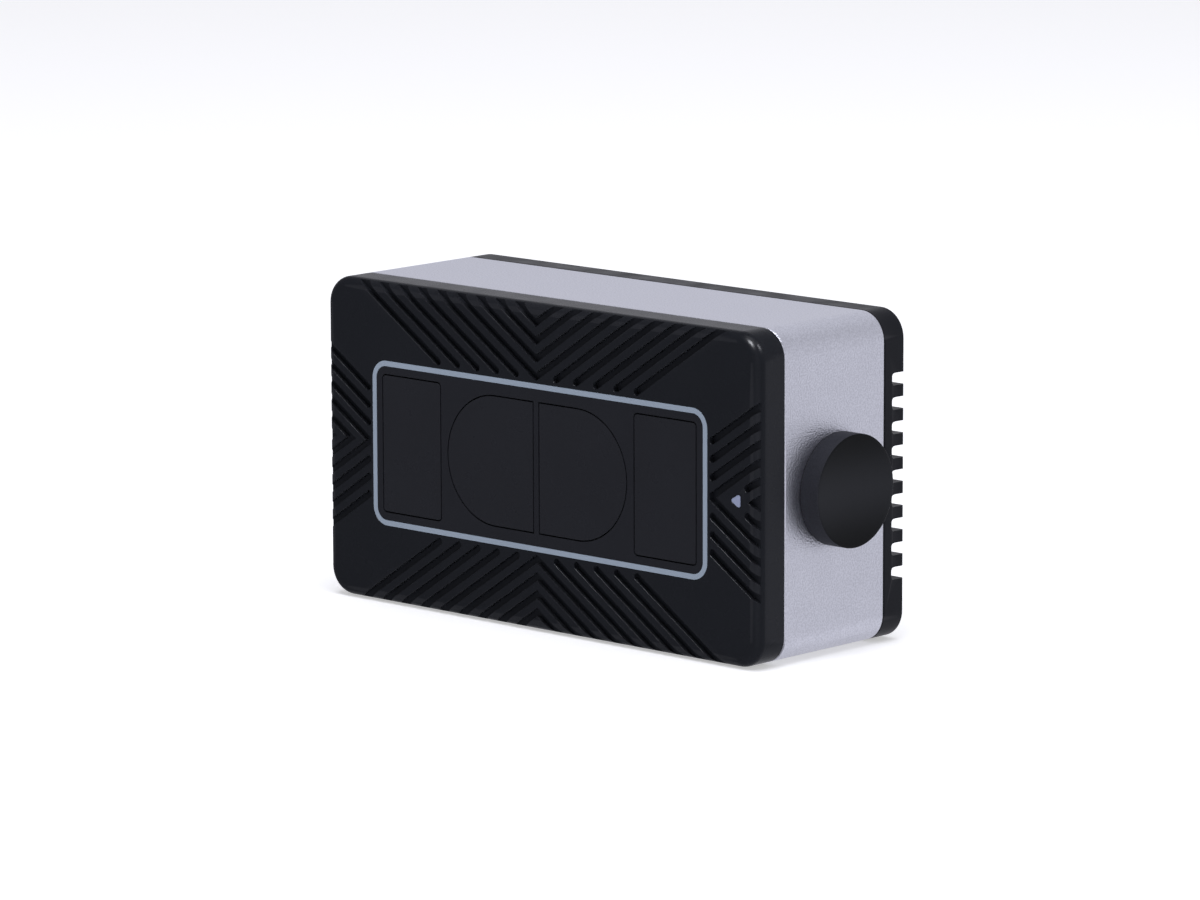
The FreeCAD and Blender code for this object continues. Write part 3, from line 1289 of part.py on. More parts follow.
def status_flex():
    """A level L-shaped flex that runs under the connector to the main board."""
    start_y = FRONT_Y + STATUS_BOARD_DEPTH[1]
    points = [(44.4, start_y), (47.0, start_y), (47.0, 10.1), (38.6, 10.1), (38.6, 9.6), (44.4, 9.6)]
    corners = [VEC(x, y, STATUS_FLEX_Z) for x, y in points]
    outline = Part.Face(Part.makePolygon(corners + [corners[0]]))
    return outline.extrude(VEC(0, 0, FLEX_THICKNESS))


def power_flex():
    """From the back of the connector, past the plate's edge, to the main board."""
    start_y, tail_end_y, end_y = POWER_FLEX_Y
    run_x = (POWER_FLEX_X, POWER_FLEX_X + FLEX_THICKNESS)
    run = box(run_x, (start_y, end_y), POWER_FLEX_Z)
    tail = box((POWER_FLEX_X, CONN_BOARD_X[0]), (start_y, tail_end_y), POWER_FLEX_Z)
    return run.fuse(tail).removeSplitter()


# ---------------------------------------------------------------- all the pieces
PIECES = {
    "front_bezel": front_bezel,
    "trim_ring": trim_ring,
    "face_panel": face_panel,
    "left_flood_window": lambda: flood_window(-1, -WINDOW_HALF_GAP, depth(0, WINDOW_DEPTH)),
    "right_flood_window": lambda: flood_window(1, -WINDOW_HALF_GAP, depth(0, WINDOW_DEPTH)),
    "transmit_window": lambda: d_window(-1, -WINDOW_HALF_GAP, depth(0, WINDOW_DEPTH)),
    "receive_window": lambda: d_window(1, -WINDOW_HALF_GAP, depth(0, WINDOW_DEPTH)),
    "status_light_guide": status_light_guide,
    "main_housing": main_housing,
    "rear_cover": rear_cover,
    "front_gasket": front_gasket,
    "rear_gasket": rear_gasket,
    "case_screws": case_screws,
    "connector_shell": connector_shell,
    "connector_insert": connector_insert,
    "connector_pins": connector_pins,
    "connector_nut": connector_nut,
    "connector_seal": connector_seal,
    "connector_board": connector_board,
    "dust_cap": dust_cap,
    "scan_shaft": scan_shaft,
    "transmit_mirror": lambda: scan_mirror(-1),
    "receive_mirror": lambda: scan_mirror(1),
    "divider_disc": divider_disc,
    "bearing_inner_rings": lambda: bearing_rings(RACE_INNER_R, SHAFT_BORE_R),
    "bearing_outer_rings": lambda: bearing_rings(BEARING_R, RACE_OUTER_R),
    "left_bearing_balls": lambda: bearing_balls(-1),
    "left_bearing_cage": lambda: bearing_cage(-1),
    "right_bearing_balls": lambda: bearing_balls(1),
    "right_bearing_cage": lambda: bearing_cage(1),
    "motor_rotor_cup": motor_rotor_cup,
    "motor_magnet_ring": motor_magnet_ring,
    "motor_stator": motor_stator,
    "motor_coils": motor_coils,
    "motor_board": motor_board,
    "encoder_disc": encoder_disc,
    "encoder_board": encoder_board,
    "encoder_sensor": encoder_sensor,
    "left_bearing_bracket": lambda: bearing_bracket(-1),
    "right_bearing_bracket": lambda: bearing_bracket(1),
    "chassis_plate": chassis_plate,
    "inner_screws": inner_screws,
    "optics_deck": optics_deck,
    "collimator_barrel": collimator_barrel,
    "collimator_lens": collimator_lens,
    "laser_diode": laser_diode,
    "laser_board": laser_board,
    "receiver_barrel": receiver_barrel,
    "receiver_lens": receiver_lens,
    "photodetector": photodetector,
    "receiver_board": receiver_board,
    "light_baffle": light_baffle,
    "flood_boards": flood_boards,
    "flood_emitters": flood_emitters,
    "flood_diffusers": flood_diffusers,
    "status_board": status_board,
    "main_board": main_board,
    "board_parts": board_parts,
    "thermal_pad": thermal_pad,
    "flat_flexes": flat_flexes,
}


def solids_only(shape):
    """A lone solid, or a group of separate solids."""
    solids = shape.Solids
    if len(solids) == 1:
        return solids[0]
    return Part.makeCompound(solids)


def main():
    os.makedirs("parts", exist_ok=True)
    for name, make in PIECES.items():
        shape = solids_only(make())
        shape.exportStep(os.path.join("parts", name + ".step"))
        print(name, len(shape.Solids), round(shape.Volume, 2), shape.isValid())


main()
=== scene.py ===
import bmesh
import bpy
import json
import math
from mathutils import Matrix, Vector
from mathutils.bvhtree import BVHTree
from mathutils.geometry import barycentric_transform


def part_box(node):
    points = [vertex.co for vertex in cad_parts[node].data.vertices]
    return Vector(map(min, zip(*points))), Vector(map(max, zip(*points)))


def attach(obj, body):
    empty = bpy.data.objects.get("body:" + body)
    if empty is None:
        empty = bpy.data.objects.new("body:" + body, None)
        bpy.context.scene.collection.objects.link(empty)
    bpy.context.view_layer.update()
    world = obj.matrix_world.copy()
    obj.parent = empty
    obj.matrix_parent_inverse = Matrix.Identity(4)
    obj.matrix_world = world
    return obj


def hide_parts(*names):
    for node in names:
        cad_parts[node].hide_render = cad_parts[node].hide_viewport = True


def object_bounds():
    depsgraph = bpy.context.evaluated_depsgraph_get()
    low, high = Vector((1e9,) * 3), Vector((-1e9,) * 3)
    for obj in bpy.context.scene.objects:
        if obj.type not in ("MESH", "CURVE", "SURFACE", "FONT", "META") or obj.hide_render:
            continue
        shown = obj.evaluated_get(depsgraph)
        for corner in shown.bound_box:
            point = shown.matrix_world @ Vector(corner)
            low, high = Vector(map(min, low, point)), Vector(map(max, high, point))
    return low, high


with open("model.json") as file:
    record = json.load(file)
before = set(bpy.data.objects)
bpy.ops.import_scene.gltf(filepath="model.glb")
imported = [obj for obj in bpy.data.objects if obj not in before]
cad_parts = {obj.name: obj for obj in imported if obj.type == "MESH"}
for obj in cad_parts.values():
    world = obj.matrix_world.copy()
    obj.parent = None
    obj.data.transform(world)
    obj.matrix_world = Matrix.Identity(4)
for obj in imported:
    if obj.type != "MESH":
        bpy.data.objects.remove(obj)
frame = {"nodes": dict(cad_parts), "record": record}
cad_low, cad_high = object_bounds()
NODES = frame["nodes"]
MM = 0.001
PLAIN = 0.0
METAL = 1.0


# ------------------------------------------------------------------ node helpers
# the range that most values of a noise texture fall in
NOISE_SPAN = (0.3, 0.7)
# the pointiness where an edge starts to look worn, and where it is fully worn
WORN_POINTINESS = (0.54, 0.64)


def new_material(name):
    """An empty node material: returns the material, its tree and its output."""
    material = bpy.data.materials.new(name)
    material.use_nodes = True
    tree = material.node_tree
    tree.nodes.clear()
    output = tree.nodes.new("ShaderNodeOutputMaterial")
    return material, tree, output


def link(tree, source, target):
    tree.links.new(source, target)


def object_space(tree):
    return tree.nodes.new("ShaderNodeTexCoord").outputs["Object"]


def noise(tree, vector, size_mm, detail=3.0):
    """Fractal noise with features about size_mm across."""
    node = tree.nodes.new("ShaderNodeTexNoise")
    node.inputs["Scale"].default_value = 1.0 / (size_mm * MM)
    node.inputs["Detail"].default_value = detail
    link(tree, vector, node.inputs["Vector"])
    return node.outputs["Fac"]


def remap(tree, value, from_range, to_range):
    node = tree.nodes.new("ShaderNodeMapRange")
    node.inputs["From Min"].default_value = from_range[0]
    node.inputs["From Max"].default_value = from_range[1]
    node.inputs["To Min"].default_value = to_range[0]
    node.inputs["To Max"].default_value = to_range[1]
    link(tree, value, node.inputs["Value"])
    return node.outputs["Result"]


def blend_colours(tree, factor, first, second):
    node = tree.nodes.new("ShaderNodeMix")
    node.data_type = "RGBA"
    for socket, colour in ((node.inputs["A"], first), (node.inputs["B"], second)):
        if isinstance(colour, bpy.types.NodeSocket):
            link(tree, colour, socket)
        else:
            socket.default_value = (*colour, 1.0)
    link(tree, factor, node.inputs["Factor"])
    return node.outputs["Result"]


def bumped(tree, height, distance_mm):
    node = tree.nodes.new("ShaderNodeBump")
    node.inputs["Distance"].default_value = distance_mm * MM
    link(tree, height, node.inputs["Height"])
    return node.outputs["Normal"]


def edge_mask(tree):
    """0 on flat ground, 1 on outer edges, from the mesh's pointiness."""
    pointy = tree.nodes.new("ShaderNodeNewGeometry").outputs["Pointiness"]
    return remap(tree, pointy, WORN_POINTINESS, (0.0, 1.0))


def faded(tree, value, none_at, full_at, level=1.0):
    """A smooth step from 0 where the value is none_at to level where it is full_at."""
    fade = tree.nodes.new("ShaderNodeMapRange")
    fade.interpolation_type = "SMOOTHSTEP"
    fade.inputs["From Min"].default_value = none_at
    fade.inputs["From Max"].default_value = full_at
    fade.inputs["To Min"].default_value = 0.0
    fade.inputs["To Max"].default_value = level
    link(tree, value, fade.inputs["Value"])
    return fade.outputs["Result"]


def maths(tree, operation, first, second):
    node = tree.nodes.new("ShaderNodeMath")
    node.operation = operation
    for socket, value in zip(node.inputs, (first, second)):
        if isinstance(value, bpy.types.NodeSocket):
            link(tree, value, socket)
        else:
            socket.default_value = value
    return node.outputs["Value"]


# ------------------------------------------------------------------ finishes
TONE_DRIFT_MM = 18.0
GLOSS_DRIFT_MM = 5.0
GLOSS_DETAIL = 4.0


def grained(name, colour, metallic, roughness, grain_mm, grain_depth_mm, specular=0.5,
            tone_spread=0.08, rough_spread=0.06, wear_colour=None, grain_detail=2.0,
            speckle=0.0):
    """A satin surface: fine grain in the relief, slow drifts in tone and gloss.

    With a wear_colour its outer edges look worn, and with speckle its grain also shows in the tone.
    """
    material, tree, output = new_material(name)
    place = object_space(tree)
    shader = tree.nodes.new("ShaderNodeBsdfPrincipled")
    shader.inputs["Metallic"].default_value = metallic
    shader.inputs["Specular IOR Level"].default_value = specular
    drift = noise(tree, place, TONE_DRIFT_MM)
    speck = noise(tree, place, grain_mm, grain_detail)
    darker = tuple(c * (1 - tone_spread) for c in colour)
    lighter = tuple(min(c * (1 + tone_spread), 1.0) for c in colour)
    tone = blend_colours(tree, drift, darker, lighter)
    if speckle > 0:
        shade = remap(tree, speck, NOISE_SPAN, (0.0, 1.0))
        tone = blend_colours(tree, shade, tuple(c * (1 - speckle) for c in colour), tone)
    if wear_colour is not None:
        tone = blend_colours(tree, edge_mask(tree), tone, wear_colour)
    link(tree, tone, shader.inputs["Base Color"])
    gloss = remap(tree, noise(tree, place, GLOSS_DRIFT_MM, GLOSS_DETAIL), NOISE_SPAN,
                  (roughness - rough_spread, roughness + rough_spread))
    link(tree, gloss, shader.inputs["Roughness"])
    link(tree, bumped(tree, speck, grain_depth_mm), shader.inputs["Normal"])
    link(tree, shader.outputs["BSDF"], output.inputs["Surface"])
    return material


# the wave texture's own pitch at a scale of 1
BAND_PITCH = 0.314
BAND_WANDER = 0.4
BAND_DETAIL = 1.0
BAND_GLOSS_MM = 3.0
BAND_GLOSS_SPREAD = 0.05


def striped(name, colour, metallic, roughness, pitch_mm, axis, depth_mm, contrast=0.25):
    """Fine parallel lines along one axis: laminations, wire turns or copper tracks."""
    material, tree, output = new_material(name)
    place = object_space(tree)
    wave = tree.nodes.new("ShaderNodeTexWave")
    wave.bands_direction = axis
    wave.inputs["Scale"].default_value = BAND_PITCH / (pitch_mm * MM)
    wave.inputs["Distortion"].default_value = BAND_WANDER
    wave.inputs["Detail"].default_value = BAND_DETAIL
    link(tree, place, wave.inputs["Vector"])
    shader = tree.nodes.new("ShaderNodeBsdfPrincipled")
    shader.inputs["Metallic"].default_value = metallic
    line_colour = tuple(c * (1 - contrast) for c in colour)
    tone = blend_colours(tree, wave.outputs["Fac"], line_colour, colour)
    link(tree, tone, shader.inputs["Base Color"])
    gloss = remap(tree, noise(tree, place, BAND_GLOSS_MM), NOISE_SPAN,
                  (roughness - BAND_GLOSS_SPREAD, roughness + BAND_GLOSS_SPREAD))
    link(tree, gloss, shader.inputs["Roughness"])
    link(tree, bumped(tree, wave.outputs["Fac"], depth_mm), shader.inputs["Normal"])
    link(tree, shader.outputs["BSDF"], output.inputs["Surface"])
    return material


# how squarely a surface faces along X: at most the first on the side, the second on the end face
END_FACING = (0.5, 0.9)
CAP_GRAIN_MM = 0.25
CAP_GRAIN_DETAIL = 1.0
CAP_GRAIN_DEPTH_MM = 0.003
CAP_GRAIN_SHADE = 0.75
CAP_SPECULAR = 0.07
CAP_SIDE_ROUGHNESS = 0.5
CAP_FACE_ROUGHNESS = 0.25


def capped(name, face_colour, painted_highlight_colour, side_and_sheen_colour):
    """A turned cap's finish: a smooth end face with a painted highlight band across its middle, and a
    rougher, grainy side whose paler colour is painted sheen.
    """
    material, tree, output = new_material(name)
    coordinates = tree.nodes.new("ShaderNodeTexCoord")
    place = coordinates.outputs["Object"]
    facing = tree.nodes.new("ShaderNodeVectorMath")
    facing.operation = "DOT_PRODUCT"
    facing.inputs[1].default_value = (1.0, 0.0, 0.0)
    link(tree, coordinates.outputs["Normal"], facing.inputs[0])
    end_face = remap(tree, facing.outputs["Value"], END_FACING, (0.0, 1.0))
    grain = noise(tree, place, CAP_GRAIN_MM, CAP_GRAIN_DETAIL)
    # the side's paler colour is painted sheen for the light its grain catches; the noise mottle within
    # it is real grain
    side = blend_colours(tree, remap(tree, grain, NOISE_SPAN, (0.0, 1.0)),
                         tuple(CAP_GRAIN_SHADE * c for c in side_and_sheen_colour), side_and_sheen_colour)
    # painted highlight: the end face's colour pales towards its middle height, standing in for the
    # reflection of a bright strip
    box_low, box_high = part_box("dust_cap")
    parts = tree.nodes.new("ShaderNodeSeparateXYZ")
    link(tree, place, parts.inputs["Vector"])
    height = remap(tree, parts.outputs["Z"], (box_low.z, box_high.z), (-1.0, 1.0))
    distance = maths(tree, "ABSOLUTE", height, 0.0)
    face = blend_colours(tree, faded(tree, distance, 1.0, 0.0), face_colour, painted_highlight_colour)
    shader = tree.nodes.new("ShaderNodeBsdfPrincipled")
    shader.inputs["Specular IOR Level"].default_value = CAP_SPECULAR
    link(tree, blend_colours(tree, end_face, side, face), shader.inputs["Base Color"])
    gloss = remap(tree, end_face, (0.0, 1.0), (CAP_SIDE_ROUGHNESS, CAP_FACE_ROUGHNESS))
    link(tree, gloss, shader.inputs["Roughness"])
    link(tree, bumped(tree, grain, CAP_GRAIN_DEPTH_MM), shader.inputs["Normal"])
    link(tree, shader.outputs["BSDF"], output.inputs["Surface"])
    return material


GLASS_IOR = 1.52
GLASS_CLEARNESS = 0.9
HAZE_MM = 4.0
HAZE_PALER = 1.1
HAZE_ROUGHNESS = 0.05


def glass(name, tint, roughness):
    """Coated glass with a faint haze that varies over the surface."""
    material, tree, output = new_material(name)
    place = object_space(tree)
    shader = tree.nodes.new("ShaderNodeBsdfPrincipled")
    shader.inputs["Transmission Weight"].default_value = GLASS_CLEARNESS
    shader.inputs["IOR"].default_value = GLASS_IOR
    haze = noise(tree, place, HAZE_MM)
    tone = blend_colours(tree, haze, tint, tuple(min(c * HAZE_PALER, 1.0) for c in tint))
    link(tree, tone, shader.inputs["Base Color"])
    gloss = remap(tree, haze, NOISE_SPAN, (roughness, roughness + HAZE_ROUGHNESS))
    link(tree, gloss, shader.inputs["Roughness"])
    link(tree, shader.outputs["BSDF"], output.inputs["Surface"])
    return material


# ------------------------------------------------------------------ the material of each slot
MATERIALS = {
    "bezel_black": grained("bezel_satin_black", (0.0132, 0.0144, 0.0180), PLAIN, 0.27, 0.22, 0.006,
                           specular=0.05, rough_spread=0.03, wear_colour=(0.022, 0.023, 0.027)),
    "ring_grey": grained("ring_blue_grey", (0.30, 0.36, 0.44), PLAIN, 0.45, 0.3, 0.006, specular=0.3),
    "panel_black": grained("panel_smooth_black", (0.0165, 0.0174, 0.0222), PLAIN, 0.38, 0.35, 0.008,
                           specular=0.10),
    "window_dark": grained("window_infrared_black", (0.0178, 0.0186, 0.0232), PLAIN, 0.30, 0.6, 0.004,
                           specular=0.10),
    "guide_white": grained("guide_pale_lavender", (0.29, 0.33, 0.48), PLAIN, 0.35, 0.4, 0.01),
    "housing_silver": grained("housing_blasted_silver", (0.84, 0.85, 0.935), METAL, 0.42, 0.30, 0.06,
                              tone_spread=0.02, rough_spread=0.02, grain_detail=0.0,
                              speckle=0.14),
    "cover_black": grained("cover_anodised_black", (0.0125, 0.0133, 0.0165), PLAIN, 0.36, 0.25, 0.010,
                           specular=0.07, wear_colour=(0.03, 0.03, 0.034)),
    # painted highlight band across the cap's end face and painted sheen on its paler side
    "cap_black": capped("cap_black_painted_band_and_sheen", (0.0045, 0.0050, 0.0056), (0.0190, 0.0200, 0.0235),
                        (0.034, 0.035, 0.043)),
    "seal_rubber": grained("seal_black_rubber", (0.012, 0.012, 0.013), PLAIN, 0.75, 0.3, 0.02),
    "screw_steel": grained("screw_zinc_steel", (0.33, 0.33, 0.35), METAL, 0.32, 0.2, 0.01),
    "connector_metal": grained("connector_satin_nickel", (0.56, 0.55, 0.53), METAL, 0.28, 0.2, 0.006),
    "insulator_black": grained("insulator_moulded_black", (0.011, 0.011, 0.012), PLAIN, 0.5, 0.3, 0.01),
    "contact_gold": grained("contact_gold_plate", (0.78, 0.55, 0.22), METAL, 0.22, 0.15, 0.003),
    "bearing_steel": grained("bearing_ground_steel", (0.62, 0.62, 0.63), METAL, 0.14, 0.1, 0.002),
    "inner_aluminium": grained("inner_milled_aluminium", (0.62, 0.63, 0.64), METAL, 0.36, 0.4, 0.01),
    "barrel_black": grained("barrel_black_anodised", (0.012, 0.012, 0.013), PLAIN, 0.4, 0.2, 0.008),
    "diffuser_white": grained("diffuser_opal", (0.75, 0.75, 0.74), PLAIN, 0.6, 0.5, 0.02),
    "pad_grey": grained("thermal_pad_grey", (0.30, 0.32, 0.36), PLAIN, 0.85, 0.4, 0.05),
    "mirror_face": grained("mirror_gold_coat", (0.85, 0.72, 0.45), METAL, 0.05, 0.8, 0.0005,
                           rough_spread=0.02),
    "magnet_dark": grained("magnet_sintered", (0.10, 0.10, 0.11), METAL, 0.45, 0.15, 0.012),
    "encoder_metal": grained("encoder_etched_steel", (0.45, 0.44, 0.42), METAL, 0.3, 0.3, 0.004),
    "cage_brass": grained("cage_pressed_brass", (0.70, 0.50, 0.22), METAL, 0.3, 0.25, 0.006),
    "board_green": striped("board_green_mask", (0.015, 0.11, 0.045), PLAIN, 0.35, 0.4, "DIAGONAL",
                           0.006),
    "stator_steel": striped("stator_laminations", (0.33, 0.33, 0.34), METAL, 0.35, 0.35, "X", 0.03),
    "coil_copper": striped("coil_enamelled_copper", (0.70, 0.30, 0.13), METAL, 0.28, 0.3, "X", 0.08),
    "flex_amber": striped("flex_amber_film", (0.55, 0.28, 0.06), PLAIN, 0.3, 0.8, "X", 0.01, 0.4),
    "lens_glass": glass("lens_coated_glass", (0.90, 0.93, 0.96), 0.02),
}
SLOT_OF = {row["node"]: row["material_slot"] for row in frame["record"]["subparts"]}
BODY_OF = {}
for body, nodes in frame["record"]["behaviour"]["bodies"].items():
    for node in nodes:
        BODY_OF[node] = body


def finish_cad_nodes():
    for node, slot in SLOT_OF.items():
        NODES[node].data.materials[0] = MATERIALS[slot]


# ------------------------------------------------------------------ outer pieces with softened edges
BEVEL_FACE = 1
BEVEL_SEGMENTS = 2
SHARP_DEG = 28.0
MERGE_MM = 0.002
FLAT_DEG = 0.4
IN_PLANE_MM = 0.01
# how near a CAD face must be, and how alike it must face, to lend its normal
SAME_SURFACE_MM = 0.003
SAME_SURFACE_DEG = 25
# how far the faces beside a rounded edge may turn from it and still be blended across it
BESIDE_BEVEL_DEG = 60


def cad_normals(node):
    """A lookup of the CAD surface's own normals: f(point, facing) gives one, or None."""
    source = NODES[node].data
    source.calc_loop_triangles()
    corners = [vertex.co.copy() for vertex in source.vertices]
    normals = [entry.vector.copy() for entry in source.corner_normals]
    triangles = [tuple(tri.vertices) for tri in source.loop_triangles]
    loops = [tuple(tri.loops) for tri in source.loop_triangles]
    tree = BVHTree.FromPolygons(corners, triangles)
    reach = SAME_SURFACE_MM * MM

    def lookup(point, facing):
        best, best_match = None, math.cos(math.radians(SAME_SURFACE_DEG))
        for place, normal, index, _ in tree.find_nearest_range(point, reach):
            match = normal.dot(facing)
            if match > best_match:
                best, best_match = (place, index), match
        if best is None:
            return None
        place, index = best
        a, b, c = (corners[i] for i in triangles[index])
        na, nb, nc = (normals[i] for i in loops[index])
        return barycentric_transform(place, a, b, c, na, nb, nc).normalized()

    return lookup


def shade_exactly(mesh, node):
    """Give each face the CAD surface's normals, and blend them across the softened edges."""
    lookup = cad_normals(node)
    near_enough = math.cos(math.radians(BESIDE_BEVEL_DEG))
    loop_normals = [None] * len(mesh.loops)
    beside = {}
    for face in mesh.polygons:
        if face.material_index == BEVEL_FACE:
            continue
        for loop_index in face.loop_indices:
            vertex = mesh.loops[loop_index].vertex_index
            normal = lookup(mesh.vertices[vertex].co, face.normal) or face.normal.copy()
            loop_normals[loop_index] = normal
            beside.setdefault(vertex, []).append(normal)
    for face in mesh.polygons:
        if face.material_index != BEVEL_FACE:
            continue
        for loop_index in face.loop_indices:
            vertex = mesh.loops[loop_index].vertex_index
            near = [n for n in beside.get(vertex, []) if n.dot(face.normal) > near_enough]
            if near:
                loop_normals[loop_index] = sum(near, Vector()).normalized()
            else:
                loop_normals[loop_index] = mesh.vertices[vertex].normal.copy()
        face.material_index = 0
    mesh.shade_smooth()
    mesh.normals_split_custom_set(loop_normals)


def add_skin(node, mesh):
    """Show a mesh in place of a CAD node, with its finish and on its body."""
    piece = bpy.data.objects.new(node + "_skin", mesh)
    bpy.context.scene.collection.objects.link(piece)
    mesh.materials.clear()
    mesh.materials.append(MATERIALS[SLOT_OF[node]])
    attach(piece, BODY_OF[node])
    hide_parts(node)


def softened(node, radius_mm, shortest_mm=0.0, keep_y=None):
    """Put a skin over a CAD node: the same form with its sharp outer edges rounded a little.

    Edges shorter than shortest_mm stay sharp, and so do edges away from the plane y = keep_y.
    """
    form = bmesh.new()
    form.from_mesh(NODES[node].data)
    bmesh.ops.remove_doubles(form, verts=form.verts, dist=MERGE_MM * MM)
    bmesh.ops.dissolve_limit(form, angle_limit=math.radians(FLAT_DEG), verts=form.verts,
                             edges=form.edges)
    weights = form.edges.layers.float.new("bevel_weight_edge")
    sharp = math.radians(SHARP_DEG)
    in_reach = IN_PLANE_MM * MM
    for edge in form.edges:
        turn = edge.calc_face_angle_signed(0.0)
        in_plane = keep_y is None or all(abs(v.co.y - keep_y) < in_reach for v in edge.verts)
        if turn > sharp and edge.calc_length() > shortest_mm * MM and in_plane:
            edge[weights] = 1.0
    mesh = bpy.data.meshes.new(node + "_form")
    form.to_mesh(mesh)
    form.free()
    maker = bpy.data.objects.new(node + "_form", mesh)
    bpy.context.scene.collection.objects.link(maker)
    bevel = maker.modifiers.new("soft_edges", "BEVEL")
    bevel.width = radius_mm * MM
    bevel.segments = BEVEL_SEGMENTS
    bevel.limit_method = "WEIGHT"
    bevel.use_clamp_overlap = False
    bevel.material = BEVEL_FACE
    mesh.materials.append(MATERIALS[SLOT_OF[node]])
    mesh.materials.append(MATERIALS[SLOT_OF[node]])
    bpy.context.view_layer.update()
    shaped = maker.evaluated_get(bpy.context.evaluated_depsgraph_get())
    skin = bpy.data.meshes.new_from_object(shaped)
    skin.name = node + "_skin"
    bpy.data.objects.remove(maker)
    shade_exactly(skin, node)
    add_skin(node, skin)


# ------------------------------------------------------------------ the turned dust cap
CAP_DISH_MM = 0.2
CAP_RIM_R_MM = 0.15
CAP_BORE_R_MM = 8.1
CAP_END_MM = 1.0
CAP_RINGS = 20
CAP_SEGMENTS = 144
CAP_RIM_STEPS = 5
CAP_SHARP_DEG = 40


def turned_mesh(name, profile, y, z, segments):
    """A closed solid of revolution about the line (y, z) along X, from (x, radius) points."""
    form = bmesh.new()
    rings = []
    for x, radius in profile:
        if radius == 0.0:
            rings.append([form.verts.new((x, y, z))])
            continue
        ring = []
        for index in range(segments):
            angle = 2 * math.pi * index / segments
            place = (x, y + radius * math.cos(angle), z + radius * math.sin(angle))
            ring.append(form.verts.new(place))
        rings.append(ring)
    for first, second in zip(rings, rings[1:]):
        for index in range(segments):
            after = (index + 1) % segments
            corners = [first[index % len(first)], first[after % len(first)],
                       second[after % len(second)], second[index % len(second)]]
            form.faces.new(list(dict.fromkeys(corners)))
    bmesh.ops.recalc_face_normals(form, faces=form.faces)
    mesh = bpy.data.meshes.new(name)
    form.to_mesh(mesh)
    form.free()
    mesh.shade_smooth()
    mesh.set_sharp_from_angle(angle=math.radians(CAP_SHARP_DEG))
    return mesh


def dished_cap():
    """Put a dust cap with a slightly dished end face in the place of the flat CAD one."""
    low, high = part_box("dust_cap")
    radius = (high.z - low.z) / 2
    rim = CAP_RIM_R_MM * MM
    face_r = radius - rim
    profile = []
    for step in range(CAP_RINGS + 1):
        r = face_r * step / CAP_RINGS
        sunk = CAP_DISH_MM * MM * (1 - (r / face_r) ** 2)
        profile.append((high.x - sunk, r))
    for step in range(1, CAP_RIM_STEPS + 1):
        angle = math.radians(90 * step / CAP_RIM_STEPS)
        x = high.x - rim + rim * math.cos(angle)
        profile.append((x, face_r + rim * math.sin(angle)))
    bore_r = CAP_BORE_R_MM * MM
    floor_x = high.x - CAP_END_MM * MM
    profile += [(low.x, radius), (low.x, bore_r), (floor_x, bore_r), (floor_x, 0.0)]
    centre_y = (low.y + high.y) / 2
    centre_z = (low.z + high.z) / 2
    add_skin("dust_cap", turned_mesh("dust_cap_skin", profile, centre_y, centre_z, CAP_SEGMENTS))


# ------------------------------------------------------------------ every replaced piece
BEZEL_EDGE_MM = 0.12
COVER_EDGE_MM = 0.2
COVER_SHORTEST_MM = 2.0
FRONT_EDGES_MM = {
    "trim_ring": 0.05,
    "face_panel": 0.05,
    "left_flood_window": 0.06,
    "right_flood_window": 0.06,
    "transmit_window": 0.06,
    "receive_window": 0.06,
    "status_light_guide": 0.08,
}


def make_skins():
    softened("front_bezel", BEZEL_EDGE_MM, keep_y=cad_low.y)
    softened("rear_cover", COVER_EDGE_MM, shortest_mm=COVER_SHORTEST_MM)
    for node, radius_mm in FRONT_EDGES_MM.items():
        softened(node, radius_mm)
    dished_cap()


finish_cad_nodes()
make_skins()


# ------------------------------------------------------------------ stage, light and camera
FLOOR_SIZE = 6.0
FLOOR_GAP_MM = 0.2
FLOOR_COLOUR = (0.90, 0.90, 0.91, 1.0)
FLOOR_ROUGHNESS = 0.9
FLOOR_GLOW = 0.45


def make_floor():
    bpy.ops.mesh.primitive_plane_add(size=FLOOR_SIZE)
    floor = bpy.context.object
    floor.name = "studio_floor"
    floor.location.z = cad_low.z - FLOOR_GAP_MM * MM
    material, tree, output = new_material("studio_paper")
    shader = tree.nodes.new("ShaderNodeBsdfPrincipled")
    shader.inputs["Base Color"].default_value = FLOOR_COLOUR
    shader.inputs["Roughness"].default_value = FLOOR_ROUGHNESS
    shader.inputs["Emission Color"].default_value = (1.0, 1.0, 1.0, 1.0)
    shader.inputs["Emission Strength"].default_value = FLOOR_GLOW
    link(tree, shader.outputs["BSDF"], output.inputs["Surface"])
    floor.data.materials.append(material)
    floor.visible_glossy = False


LAMP_COLOUR = (0.93, 0.94, 1.0)
OVERHEAD_PLACE = (0.2, -0.2, 1.3)
OVERHEAD_AIM = (0, 0, 0.03)
OVERHEAD_SIZE = 0.9
OVERHEAD_POWER = 12
SPARK_AIM = (0.05, 0, 0.05)
SPARK_SIZE = 0.4
SPARKS = (
    # name, place in metres, power in watts
    ("spark_front", (0.28, -0.69, 1.10), 90),
    ("spark_right", (0.88, 0.26, 0.94), 25),
)


def square_lamp(name, place, aim, size, power):
    light = bpy.data.lights.new(name, "AREA")
    light.size = size
    light.energy = power
    light.color = LAMP_COLOUR
    lamp = bpy.data.objects.new(name, light)
    bpy.context.scene.collection.objects.link(lamp)
    lamp.location = place
    lamp.rotation_euler = (Vector(aim) - Vector(place)).to_track_quat("-Z", "Y").to_euler()
    return lamp


def spark_lamp(name, place, power):
    """A small lamp that only puts a highlight on the front bezel's rounded corner."""
    lamp = square_lamp(name, place, SPARK_AIM, SPARK_SIZE, power)
    lamp.visible_diffuse = False
    lit = bpy.data.collections.new(name + "_lit")
    lit.objects.link(bpy.data.objects["front_bezel_skin"])
    lamp.light_linking.receiver_collection = lit


def make_lamps():
    square_lamp("key_overhead", OVERHEAD_PLACE, OVERHEAD_AIM, OVERHEAD_SIZE, OVERHEAD_POWER)
    for spark in SPARKS:
        spark_lamp(*spark)


